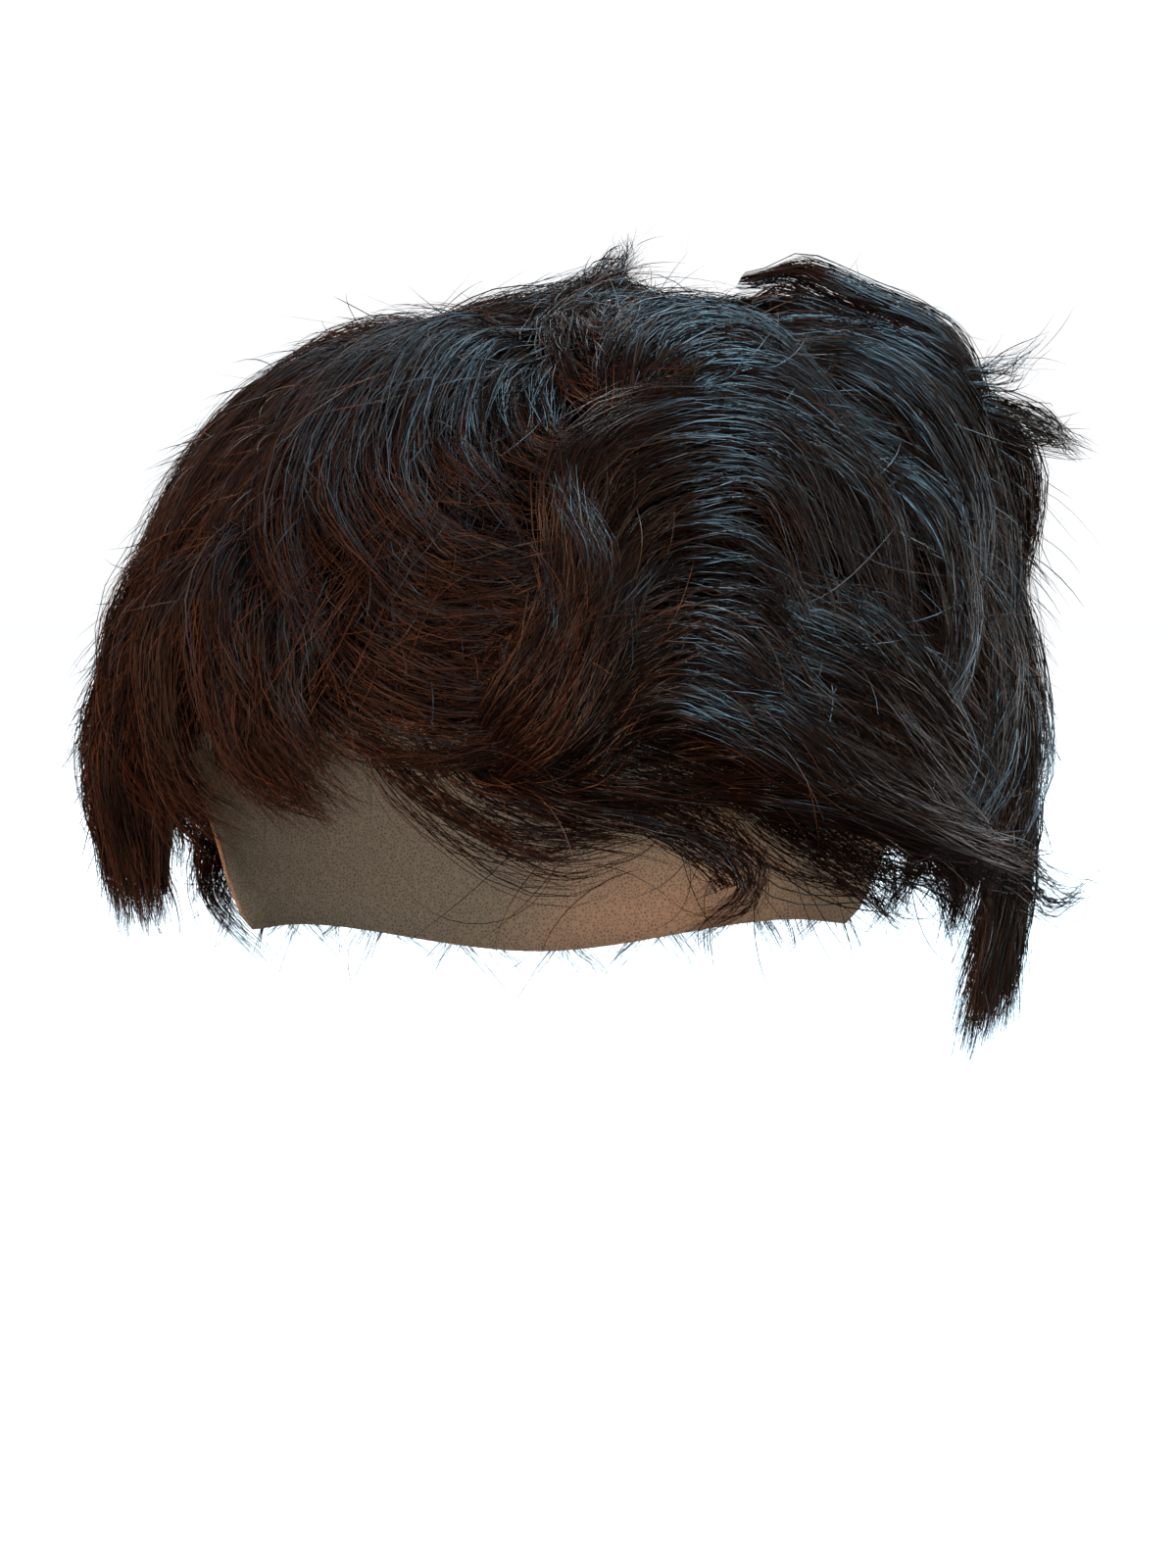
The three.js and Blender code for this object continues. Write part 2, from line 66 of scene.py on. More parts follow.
# Locks, one row each. root, rise, fall and tip are (azimuth, polar, height over the cap's inside).
# share is the lock's part of the usual strand count, and stray the part of its strands that leave it.
# blunt is how much of the lock's width is left at its tip. clear locks arch over a dark hollow.
Lock = namedtuple("Lock", "root rise fall tip width thick share stray blunt clear", defaults=[0.4, False])
LOCKS = [
    # front crest, swept up from the hairline and over to the wearer's left
    Lock((-4, 63, 10), (0, 50, 18), (21, 48.5, 20), (33, 67, 13), 15, 7, 1.1, 0.15, clear=True),
    Lock((-3, 63, 10), (4, 54, 18), (18, 53, 19), (27, 68, 12), 13, 5, 0.7, 0.15, clear=True),
    Lock((8, 48, 11), (20, 46, 17), (33, 53, 17), (37, 66, 12), 12, 8, 1.0, 0.1),
    Lock((-3, 66, 11), (5, 58.5, 17), (15, 58, 18), (25, 70, 11), 11, 4, 0.7, 0.2, clear=True),
    Lock((-3, 68, 12), (5, 62.5, 18), (14, 63, 19), (24, 74, 12), 11, 4, 0.7, 0.2, clear=True),
    Lock((-4, 71, 12), (4, 66.5, 19), (12, 67, 20), (24, 77, 14), 11, 5, 0.8, 0.2, clear=True),
    # ridge that the crest rises from
    Lock((-13, 75, 9), (-6, 71, 14), (-0.5, 64, 18), (4, 57.5, 20), 14, 10, 1.2, 0.25),
    Lock((-15, 73.5, 9), (-9, 68, 13), (-5, 63, 16), (-4, 57, 18), 11, 8, 1.0, 0.25),
    Lock((-8, 75.5, 9), (-2, 72, 14), (3.5, 68, 17), (9, 64, 18), 11, 9, 1.0, 0.1),
    Lock((-5, 67, 14), (-3, 63, 18), (-2, 58, 20), (-5, 53, 21), 9, 3, 0.6, 0.5, 0.9, True),
    # long sweep along the hairline, ending in a flick past the wearer's left temple
    Lock((-7, 74.5, 10), (5, 69.5, 17), (17, 73.5, 17), (36, 81, 14), 12, 8, 1.1, 0.22),
    Lock((1, 73, 10), (13, 71, 17), (25, 77, 17), (46, 83, 16), 12, 8, 1.1, 0.22),
    Lock((8, 75, 10), (20, 77, 15), (40, 82.5, 17), (60, 87, 20), 10, 7, 1.0, 0.25),
    Lock((34, 81, 12), (47, 85, 16), (58, 88.5, 19), (66, 87, 25), 9, 6, 0.6, 0.25),
    Lock((2, 65, 9), (12, 68, 12), (24, 72, 13), (38, 79, 12), 15, 9, 1.2, 0.1),
    Lock((12, 61, 10), (22, 65, 12.5), (32, 71, 13), (45, 79, 13), 15, 9, 1.2, 0.1),
    # trough between the ridge and the side, combed level
    Lock((-33, 60, 10), (-23, 66, 9.5), (-12, 67.5, 9.5), (-2, 66, 10), 16, 8, 1.0, 0.06),
    Lock((-35, 66, 10), (-25, 70, 10), (-15, 72, 10), (-5, 71, 11), 12, 8, 1.0, 0.06),
    Lock((-29, 55, 10), (-21, 61, 9.5), (-11, 62, 9.5), (-1, 60, 10), 15, 8, 1.0, 0.06),
    Lock((-25, 50, 11), (-18, 56.5, 10), (-9, 57.5, 10), (0, 55, 11), 13, 8, 1.0, 0.06),
    # curl that turns from the crown round to the trough
    Lock((-8, 32, 14), (-17, 38, 15), (-17.5, 48, 13), (-6, 54, 11), 12, 8, 1.0, 0.16),
    Lock((-11, 29, 14), (-24, 37, 16), (-25, 50, 13), (-11, 58.5, 10), 13, 9, 1.1, 0.16),
    Lock((-15, 26, 14), (-31, 36, 15), (-33, 51, 13), (-20, 62, 11), 14, 9, 1.1, 0.16),
    Lock((-22, 25, 14), (-39, 38, 15), (-40, 55, 13), (-28, 67, 11), 15, 9, 1.0, 0.16),
    Lock((-4, 33, 13), (-9, 40, 12), (-6, 46, 11), (4, 47, 13), 14, 8, 1.0, 0.16),
    Lock((-2, 24, 15), (-1, 33, 14), (3, 40, 13), (9, 44, 13), 14, 8, 1.0, 0.08),
    # second crest, further back
    Lock((2, 48, 10), (7, 38.5, 19), (24, 36.5, 20), (42, 49, 15), 14, 9, 1.0, 0.06),
    Lock((5, 49, 10), (11, 42.5, 18), (26, 42, 19), (40, 54, 14), 12, 8, 1.0, 0.06),
    Lock((4, 42, 12), (10, 32, 15), (30, 31, 16), (53, 47, 16), 15, 9, 0.9, 0.06),
    Lock((0, 37, 12), (8, 26, 11), (38, 27, 13), (64, 47, 18), 15, 8, 0.9, 0.08),
    # fine fringe on the forehead
    Lock((-30, 69, 7), (-20, 77, 6), (-6, 82, 5), (6, 79, 5), 7, 4, 0.9, 0.1),
    Lock((-22, 70, 8), (-13, 76, 7.5), (-3, 79, 7), (8, 79.5, 7), 9, 5, 0.9, 0.1),
    Lock((-15, 73, 9), (-5, 76, 9), (6, 78, 9), (14, 83, 7), 10, 6, 0.8, 0.1),
    Lock((-3, 75, 9), (7, 79, 9), (14.5, 84, 9), (8, 88, 7), 8, 5, 1.0, 0.1),
    Lock((-8, 73, 9), (3, 74, 10), (14, 75.5, 10), (26, 79, 10), 13, 7, 0.9, 0.1),
    # lining behind the fringe, close to the forehead
    Lock((12, 73, 5), (22, 77, 5), (33, 80, 5), (45, 83, 5), 11, 8, 1.0, 0.1),
    Lock((0, 70, 6), (12, 73, 6), (24, 77, 6), (36, 80, 6), 13, 8, 1.0, 0.1),
    Lock((-18, 72, 5), (-8, 74, 5), (4, 76, 5), (16, 78, 5), 11, 8, 1.0, 0.1),
    Lock((-48, 66, 6), (-44, 72, 6), (-38, 76, 6), (-30, 79, 5), 13, 8, 1.0, 0.1),
    Lock((-66, 62, 6), (-62, 69, 7), (-56, 75, 7), (-48, 80, 6), 13, 8, 1.0, 0.1),
    # ends of the fringe towards the wearer's left
    Lock((10, 75, 10), (18, 81, 10), (28, 85, 10), (38, 90, 8), 10, 6, 0.9, 0.1),
    Lock((19, 76, 10), (27, 81, 12), (37, 85, 13), (46, 91, 10), 10, 6, 0.9, 0.1),
    # wearer's left side
    Lock((34, 33, 18), (49, 42, 19), (53, 54, 17), (46, 67, 13), 15, 9, 1.1, 0.08),
    Lock((44, 29, 20), (61, 42, 22), (65, 56, 16), (57, 71, 13), 16, 10, 1.1, 0.08),
    Lock((37, 46, 15), (44, 55, 16), (44, 65, 14), (36, 75, 12), 14, 8, 1.0, 0.08),
    Lock((50, 55, 14), (54, 66, 14), (50, 75, 13), (41, 83, 12), 14, 8, 1.0, 0.08),
    Lock((62, 54, 15), (67, 66, 12.5), (63, 77, 12.5), (52, 86, 12), 15, 9, 1.0, 0.08),
    Lock((78, 50, 24), (81, 62, 12.5), (78, 75, 9.5), (68, 87, 9), 16, 9, 1.0, 0.08),
    Lock((24, 65, 9), (31, 71, 11), (38, 77, 12), (47, 83, 13), 12, 7, 1.0, 0.08),
    Lock((26, 58, 9), (34, 65, 11), (41, 72, 12), (50, 80, 12), 14, 8, 1.0, 0.08),
    Lock((54, 60, 14), (57, 74, 12), (57, 86, 8), (55, 98, 4), 18, 8, 2.0, 0.08, 0.9),
    Lock((48, 68, 12), (52, 78, 11), (52, 84, 8), (50, 91, 5), 13, 7, 1.0, 0.08, 0.7),
    Lock((58, 64, 10), (60, 73, 9), (60, 81, 7), (58, 89, 5), 20, 6, 1.4, 0.06, 0.9),
    Lock((40, 68, 9), (45, 75, 9), (47, 83, 7), (44, 90, 5), 17, 6, 1.5, 0.12, 0.9),
    Lock((30, 73, 10), (38, 79, 10), (44, 84, 9), (49, 91, 6), 15, 6, 1.3, 0.15, 0.8),
    # wearer's right side
    Lock((-46, 50, 13), (-47, 62, 14), (-42, 73, 11), (-31, 79.5, 7), 14, 8, 1.1, 0.28, 0.6),
    Lock((-55, 52, 13), (-57, 65, 14), (-53, 76, 11), (-43, 81.5, 7), 14, 8, 1.1, 0.28, 0.6),
    Lock((-66, 52, 14), (-69, 65, 14), (-65, 76, 12), (-55, 81, 8), 14, 8, 1.1, 0.28, 0.6),
    Lock((-42, 56, 12), (-41, 64, 11.5), (-39, 72, 10), (-34, 78, 7), 13, 8, 1.0, 0.28, 0.6),
    Lock((-46, 52, 11), (-45, 61, 12), (-39, 69, 10.5), (-28, 75, 8), 14, 8, 1.0, 0.28),
    Lock((-38, 58, 11), (-37, 65, 10.5), (-34, 72, 9), (-27, 77.5, 7), 14, 7, 1.2, 0.2, 0.6),
    Lock((-58, 62, 10), (-60, 70, 10), (-58, 77, 8), (-53, 83, 6), 15, 7, 1.2, 0.15, 0.7),
    Lock((-32, 30, 14), (-44, 41, 13), (-51, 53, 12.5), (-49, 66, 11), 15, 9, 1.0, 0.28),
    Lock((-45, 27, 14), (-57, 40, 13), (-64, 54, 12.5), (-63, 70, 12), 16, 9, 1.0, 0.28),
    Lock((-62, 25, 12), (-73, 40, 11), (-78, 55, 10.5), (-76, 74, 11), 18, 9, 1.0, 0.28),
    Lock((-82, 24, 12), (-91, 40, 11), (-94, 56, 10.5), (-90, 76, 11), 20, 9, 1.0, 0.28),
    # ear tabs
    Lock((-80, 70, 6), (-79, 79, 5), (-78, 87, 4), (-76, 92, 3), 18, 5, 1.4, 0.05, 0.95),
    Lock((-62, 68, 9), (-64, 78, 8), (-64, 86, 6), (-63, 92, 4), 12, 6, 1.3, 0.06, 0.95),
    Lock((-66, 62, 12), (-67, 74, 12), (-67, 84, 9), (-66, 91, 5), 16, 8, 1.6, 0.06, 0.9),
    Lock((-76, 62, 12), (-75, 74, 12), (-74, 84, 10), (-72, 92.5, 6), 17, 8, 1.8, 0.06, 0.85),
    Lock((-87, 62, 11), (-86, 74, 12), (-83, 84, 11), (-79, 92, 8), 16, 8, 1.8, 0.06, 0.75),
    Lock((78, 74, 6), (77, 84, 5), (75, 92, 4), (71, 99, 3), 18, 5, 1.4, 0.05, 1.0),
    Lock((64, 72, 9), (66, 83, 7), (65, 92, 5), (61, 99, 3), 16, 6, 1.4, 0.05, 1.0),
    Lock((60, 71, 12), (61, 82, 10), (60, 92, 7), (57, 99.5, 4), 17, 8, 1.8, 0.06, 1.1),
    Lock((72, 70, 10), (72, 83, 8), (70, 93, 7), (66, 101, 4), 18, 8, 1.8, 0.06, 1.1),
    Lock((82, 68, 11), (80, 80, 9), (77, 91, 7), (73, 100, 6), 17, 8, 1.6, 0.06, 0.95),
    # crown, combed over to the wearer's left
    Lock((-64, 25, 8), (-34, 18, 10.5), (4, 13, 13.5), (31, 13, 19), 14, 8, 1.2, 0.3),
    Lock((-58, 21, 6), (-30, 14, 7), (10, 10, 9), (44, 12, 10), 20, 10, 0.5, 0.15),
    Lock((-10, 26, 10), (12, 18, 13), (42, 15, 11), (75, 22, 7), 16, 8, 1.0, 0.25),
    Lock((44, 22, 9), (72, 28, 14), (81, 38, 24), (86, 52, 28), 17, 10, 1.0, 0.1),
    # barrel curl behind the crown and the hair that carries it
    Lock((119, 22, 31), (110, 31, 30), (105, 41, 34.5), (100, 56, 27), 22, 10, 1.4, 0.1),
    Lock((160, 22, 10), (142, 25, 15), (127, 28, 23), (113, 33, 29), 20, 11, 0.7, 0.1),
    Lock((150, 34, 13), (136, 37, 19), (122, 40, 24), (110, 44, 27), 22, 11, 0.6, 0.1),
    Lock((136, 50, 14), (125, 51, 19), (114, 53, 22), (103, 58, 22), 20, 11, 0.6, 0.1),
    # tuft on the crown
    Lock((-20, 20, 10), (8, 15, 14), (21, 13.5, 18), (30, 12, 23), 9, 6, 0.7, 0.2),
    # crown, combed back
    Lock((20, 10, 8), (150, 6, 10), (172, 21, 13), (176, 38, 15), 18, 8, 0.65, 0.12),
    Lock((-60, 10, 8), (-140, 8, 10), (-158, 22, 13), (-160, 40, 14), 18, 8, 0.65, 0.12),
    Lock((70, 10, 8), (130, 13, 11), (145, 27, 14), (148, 42, 15), 18, 8, 0.65, 0.12),
    Lock((-80, 13, 8), (-115, 18, 10), (-128, 32, 12), (-130, 48, 13), 18, 8, 0.65, 0.12),
    # flicks behind the wearer's left temple
    Lock((72, 37, 20), (79, 42, 25), (83, 44, 32), (86, 44, 43), 9, 6, 0.5, 0.15),
    Lock((72, 41, 20), (81, 46.5, 26), (86, 50, 32), (90, 53, 38), 15, 10, 1.0, 0.12),
    Lock((88, 44, 30), (92, 54, 25), (94, 66, 11), (92, 80, 7), 18, 10, 1.0, 0.15),
    # lining under the barrel curl
    Lock((121, 22, 22), (112, 29, 23), (106, 39, 26), (101, 52, 22), 20, 11, 1.0, 0.1),
]

# Rows of locks over the back and the nape. Each station is (share of the cap's depth, height).
BackRow = namedtuple("BackRow", "root rise fall tip width thick share stray count")
BACK_ROWS = [
    BackRow((0.1, 11), (0.32, 15), (0.56, 16), (0.8, 13), 18, 7, 0.55, 0.14, 20),
    BackRow((0.4, 13), (0.6, 15), (0.8, 13), (0.97, 10), 16, 7, 0.6, 0.14, 21),
    BackRow((0.74, 11), (0.85, 11), (0.95, 8), (1.03, 5), 14, 6, 1.1, 0.2, 19),
]
# Degrees that a back lock's stations sway, and the azimuths that the rows fill
BACK_SWAY = (0, 6, -5, 5)
BACK_FROM = 108
BACK_TO = 252

# Heights and azimuths that part the hair pieces, as in the part's source
CROWN_CUT = -18
TAB_CUT = -62
NAPE_CUT = -88
FRONT_FROM = -40
FRONT_TO = 43
TAB_FROM = 64
EAR = 102

# Strands, for each millimetre of a lock's width, and their least and greatest width
STRANDS_PER_MM = 14
STRAND_STEPS = 11
STRAND_WIDTH = (0.13, 0.25)
FINE_WIDTH = (0.12, 0.2)
# A strand's normals fan out to both sides, and it is twisted about its length at random
STRAND_FAN = np.radians(30)
STRAND_TWIST = 0.8
# A strand is narrower at its root and thins out to its tip
ROOT_WIDTH = 0.55
WIDENED_BY = 0.2
TIP_THINNING = 0.8
THINS_FROM = 0.6
# A strand goes to the hair piece that this part of its length lies in
PIECE_AT = 0.65


def direction(azimuth, polar):
    """Unit directions from the head's centre."""
    a, p = np.radians(azimuth), np.radians(polar)
    return np.stack([np.sin(p) * np.sin(a), -np.sin(p) * np.cos(a), np.cos(p)], -1)


def half_sizes(toward):
    """Half sizes of the head on the side that each direction points to."""
    length = np.where(toward[..., 1] < 0, FRONT, BACK)
    height = np.where(toward[..., 2] > 0, DOME, BELOW)
    return np.stack([np.full_like(length, HALF_WIDTH), length, height], -1).astype(float)


def unit(vectors):
    """Vectors of length 1 that point the same way."""
    return vectors / np.maximum(np.linalg.norm(vectors, axis=-1, keepdims=True), TINY)


def normal_at(points):
    """Outward normals of the head near points."""
    offset = points - CENTRE
    return unit(offset / half_sizes(offset) ** 2)


def on_head(azimuth, polar, height):
    """Points at heights over the head."""
    toward = direction(np.asarray(azimuth, float), np.asarray(polar, float))
    doubled = 2 * toward[..., 2] * np.sqrt(np.maximum(1 - toward[..., 2] ** 2, 0))
    swell = np.where(toward[..., 2] > 0, 1 + FULLNESS * doubled**2, 1)
    base = CENTRE + toward * half_sizes(toward) * swell[..., None]
    return base + normal_at(base) * np.asarray(height, float)[..., None]


def place_on_head(points):
    """Azimuth, polar angle and height of points over the head."""
    offset = points - CENTRE
    toward = unit(offset / half_sizes(offset))
    azimuth = np.degrees(np.arctan2(toward[..., 0], -toward[..., 1]))
    polar = np.degrees(np.arccos(np.clip(toward[..., 2], -1, 1)))
    base = on_head(azimuth, polar, np.zeros_like(azimuth))
    return azimuth, polar, ((points - base) * normal_at(base)).sum(-1)


def smooth(x, low, high):
    """An eased step from 0 at low to 1 at high."""
    t = np.clip((x - low) / (high - low), 0, 1)
    return t * t * (3 - 2 * t)


def cap_edge(azimuth):
    """Polar angle of the cap's edge, eased between the named places."""
    turned = np.abs((np.asarray(azimuth, float) + HALF_TURN) % FULL_TURN - HALF_TURN)
    after = np.clip(np.searchsorted(EDGE_AZIMUTH, turned), 1, len(EDGE_AZIMUTH) - 1)
    share = smooth(turned, EDGE_AZIMUTH[after - 1], EDGE_AZIMUTH[after])
    return EDGE_POLAR[after - 1] + (EDGE_POLAR[after] - EDGE_POLAR[after - 1]) * share


# Lock paths
PATH_SAMPLES = 61
PATH_PAST_TIP = 1.2
PATH_PAST_SAMPLES = 5
PATH_SPANS = 3
KNOT_POWER = 0.5


class Path:
    """A lock's centre line with its frame, from the root at 0 to the tip at 1 and a little past it."""

    def __init__(self, lock):
        stations = np.array([lock.root, lock.rise, lock.fall, lock.tip], float)
        knots = on_head(stations[:, 0], stations[:, 1], stations[:, 2])
        self.t = np.linspace(0, 1, PATH_SAMPLES)
        line = np.array([curve_point(knots, t) for t in self.t])
        past = np.linspace(1, PATH_PAST_TIP, PATH_PAST_SAMPLES)[1:]
        ahead = (line[-1] - line[-2]) * (PATH_SAMPLES - 1)
        line = np.vstack([line, line[-1] + (past - 1)[:, None] * ahead])
        self.t = np.concatenate([self.t, past])
        self.line = line
        self.out = normal_at(line)
        self.tangent = unit(np.gradient(line, self.t, axis=0))
        self.across = unit(np.cross(self.tangent, self.out))
        self.length = np.linalg.norm(np.diff(line[:PATH_SAMPLES], axis=0), axis=1).sum()

    def at(self, values, t):
        """Values that are kept for each sample of the path, read part of the way along it."""
        return np.stack([np.interp(t, self.t, values[:, axis]) for axis in range(3)], -1)


def curve_point(knots, t):
    """Point on a smooth curve through four knots, with its ends continued straight."""
    points = np.vstack([2 * knots[0] - knots[1], knots, 2 * knots[-1] - knots[-2]])
    span = min(int(t * PATH_SPANS), PATH_SPANS - 1)
    p = points[span : span + 4]
    gaps = np.linalg.norm(np.diff(p, axis=0), axis=1) ** KNOT_POWER
    times = np.concatenate([[0], np.cumsum(gaps)])
    x = times[1] + (times[2] - times[1]) * (t * PATH_SPANS - span)

    def between(a, b, low, high):
        return (a * (times[high] - x) + b * (x - times[low])) / (times[high] - times[low])

    a = [between(p[i], p[i + 1], i, i + 1) for i in range(3)]
    b = [between(a[i], a[i + 1], i, i + 2) for i in range(2)]
    return between(b[0], b[1], 1, 2)


# Hair pieces, in the order of the numbers that the strands and surfaces are shared out by
PIECES = ["hair_top", "hair_fringe", "hair_right_side", "hair_right_tab"]
PIECES += ["hair_left_side", "hair_left_tab", "hair_back", "hair_nape"]
TOP, FRINGE, RIGHT_SIDE, RIGHT_TAB, LEFT_SIDE, LEFT_TAB, BACK_HAIR, NAPE = range(len(PIECES))
MAP_NAME = "OFBake"


def piece_of(points):
    """Number of the hair piece that each point lies in."""
    azimuth = np.degrees(np.arctan2(points[:, 0], -points[:, 1]))
    z = points[:, 2]
    side = np.abs(azimuth)
    tab = (side > TAB_FROM) & (z < TAB_CUT)
    right_piece = np.where(tab, RIGHT_TAB, RIGHT_SIDE)
    left_piece = np.where(tab, LEFT_TAB, LEFT_SIDE)
    piece = np.where(azimuth < 0, right_piece, left_piece)
    piece = np.where((azimuth > FRONT_FROM) & (azimuth < FRONT_TO), FRINGE, piece)
    piece = np.where(side > EAR, np.where(z > NAPE_CUT, BACK_HAIR, NAPE), piece)
    return np.where(z > CROWN_CUT, TOP, piece)


class Hair:
    """Points, faces, normals and map places that become one mesh for each hair piece."""

    def __init__(self):
        self.parts = {name: [] for name in PIECES}

    def add(self, points, normals, uv, faces, piece):
        """Keeps some of a piece's faces, which count their points from 0."""
        self.parts[PIECES[piece]].append((points, normals, uv, faces))

    def ribbons(self, line, outward, width, tint):
        """Flat tapering ribbons along lines (strands, steps, 3), shaded round like a hair."""
        tangent = unit(np.gradient(line, axis=1))
        level = unit(np.cross(tangent, outward))
        upright = np.cross(level, tangent)
        twist = RANDOM.normal(0, STRAND_TWIST, (len(line), 1, 1))
        side = level * np.cos(twist) + upright * np.sin(twist)
        face = upright * np.cos(twist) - level * np.sin(twist)

        steps = line.shape[1]
        along = np.linspace(0, 1, steps)
        widening = ROOT_WIDTH + (1 - ROOT_WIDTH) * smooth(along, 0, WIDENED_BY)
        taper = widening * (1 - TIP_THINNING * smooth(along, THINS_FROM, 1))
        half = width[:, None, None] / 2 * taper[None, :, None]
        points = np.stack([line - side * half, line + side * half], 2)
        ahead, aside = face * np.cos(STRAND_FAN), side * np.sin(STRAND_FAN)
        normals = np.stack([ahead - aside, ahead + aside], 2)
        uv = np.empty(points.shape[:3] + (2,))
        uv[..., 0] = tint[:, None, None]
        uv[..., 1] = along[None, :, None]

        pieces = piece_of(line[:, int(PIECE_AT * steps)])
        strip = np.arange(steps - 1)[:, None] * 2 + np.array([0, 1, 3, 2])
        for piece in np.unique(pieces):
            mine = pieces == piece
            faces = (np.arange(mine.sum())[:, None, None] * steps * 2 + strip).reshape(-1, 4)
            flat = [values[mine].reshape(-1, values.shape[-1]) for values in (points, normals, uv)]
            self.add(*flat, faces, piece)

    def surface(self, grid, normals, tint):
        """A surface from a grid of points (rows, columns, 3) whose last column meets its first."""
        rows, columns = grid.shape[:2]
        row, column = np.meshgrid(np.arange(rows - 1), np.arange(columns), indexing="ij")
        here, below = row * columns, (row + 1) * columns
        after = (column + 1) % columns
        faces = np.stack([here + column, here + after, below + after, below + column], -1).reshape(-1, 4)
        points = grid.reshape(-1, 3)
        uv = np.stack([np.full(len(points), tint), np.repeat(np.linspace(0, 1, rows), columns)], -1)
        pieces = piece_of(points[faces].mean(1))
        for piece in np.unique(pieces):
            used, local = np.unique(faces[pieces == piece], return_inverse=True)
            self.add(points[used], normals.reshape(-1, 3)[used], uv[used], local.reshape(-1, 4), piece)

    def mesh(self, name):
        """One mesh of all that was added to a piece."""
        start, points, faces = 0, [], []
        for part in self.parts[name]:
            points.append(part[0])
            faces.append(part[3] + start)
            start += len(part[0])
        points, faces = np.concatenate(points), np.concatenate(faces)
        normals = unit(np.concatenate([part[1] for part in self.parts[name]]))
        uv = np.concatenate([part[2] for part in self.parts[name]])
        mesh = bpy.data.meshes.new(name + "_strands")
        mesh.vertices.add(len(points))
        mesh.vertices.foreach_set("co", (points * MM).ravel())
        mesh.loops.add(faces.size)
        mesh.loops.foreach_set("vertex_index", faces.ravel())
        mesh.polygons.add(len(faces))
        mesh.polygons.foreach_set("loop_start", np.arange(0, faces.size, faces.shape[1]))
        mesh.update(calc_edges=True)
        layer = mesh.uv_layers.new(name=MAP_NAME)
        layer.uv.foreach_set("vector", uv[faces.ravel()].ravel())
        mesh.polygons.foreach_set("use_smooth", np.ones(len(faces), bool))
        mesh.normals_split_custom_set_from_vertices(normals)
        return mesh


# Shape of a lock along its length, as in the part's source
ROOT_FULLNESS = 0.7
FULL_FROM = 0.35
TAPER_POWER = 2.6


def fullness(t):
    """How wide a lock is part of the way along it."""
    t = np.clip(t, 0, 1)
    return (ROOT_FULLNESS + (1 - ROOT_FULLNESS) * smooth(t, 0, FULL_FROM)) * (1 - t**TAPER_POWER)


# Top of the hair and the way it lies, on a grid over the head. Heights are in millimetres.
GRID_AZIMUTHS = 120
GRID_POLARS = 48
GRID_HIGHEST = 0.5
GRID_LOWEST = 112
GRID_MARGIN = 0.001
LEAST_HEIGHT = 7.0
LOCK_DROP = 1.0
STAND_OFF = 30
PATH_STRIDE = 3
LEAST_FULLNESS = 0.15
FLOW_CORE = 0.15
FLOW_POWER = 4
SMOOTHINGS = 2


class Field:
    """Height of the hair's top, and its direction, between the locks as well as on them."""

    def __init__(self, locks, paths):
        azimuth = np.linspace(-HALF_TURN, HALF_TURN, GRID_AZIMUTHS, endpoint=False)
        polar = np.linspace(GRID_HIGHEST, GRID_LOWEST, GRID_POLARS)
        around, down = np.meshgrid(azimuth, polar, indexing="ij")
        grid = on_head(around, down, np.zeros_like(around)).reshape(-1, 3)
        height = np.full(len(grid), LEAST_HEIGHT)
        flow = np.zeros_like(grid)
        some = slice(0, PATH_SAMPLES, PATH_STRIDE)
        for lock, path in zip(locks, paths):
            place, lean, high = place_on_head(path.line[some])
            base = on_head(place, lean, np.zeros_like(place))
            full = np.maximum(fullness(path.t[some]), LEAST_FULLNESS)
            top = np.minimum(high + full * lock.thick / 2, STAND_OFF)
            gap = np.linalg.norm(grid[:, None] - base[None], axis=2)
            across = gap / (full * lock.width / 2)
            if not lock.clear:
                height = np.maximum(height, (top - LOCK_DROP * lock.thick * across**2).max(1))
            near = np.minimum(lock.share, 1) / (gap / lock.width + FLOW_CORE) ** FLOW_POWER
            flow += (near[..., None] * path.tangent[some][None]).sum(1)
        out = normal_at(grid)
        flow = unit(flow - out * (flow * out).sum(1, keepdims=True))
        height = height.reshape(around.shape)
        for _ in range(SMOOTHINGS):
            height = (height + np.roll(height, 1, 0) + np.roll(height, -1, 0)) / 3
            height[:, 1:-1] = (height[:, 1:-1] + height[:, :-2] + height[:, 2:]) / 3
        self.values = np.concatenate([height[..., None], flow.reshape(around.shape + (3,))], -1)

    def at(self, azimuth, polar):
        """Heights and unit directions at angles, even between grid places."""
        x = (azimuth + HALF_TURN) / FULL_TURN * GRID_AZIMUTHS
        y = (polar - GRID_HIGHEST) / (GRID_LOWEST - GRID_HIGHEST) * (GRID_POLARS - 1)
        y = np.clip(y, 0, GRID_POLARS - 1 - GRID_MARGIN)
        column, row = np.floor(x).astype(int), np.floor(y).astype(int)
        right, down = (x - column)[..., None], (y - row)[..., None]
        west, east = column % GRID_AZIMUTHS, (column + 1) % GRID_AZIMUTHS
        upper = self.values[west, row] * (1 - right) + self.values[east, row] * right
        lower = self.values[west, row + 1] * (1 - right) + self.values[east, row + 1] * right
        mixed = upper * (1 - down) + lower * down
        return mixed[..., 0], unit(mixed[..., 1:])


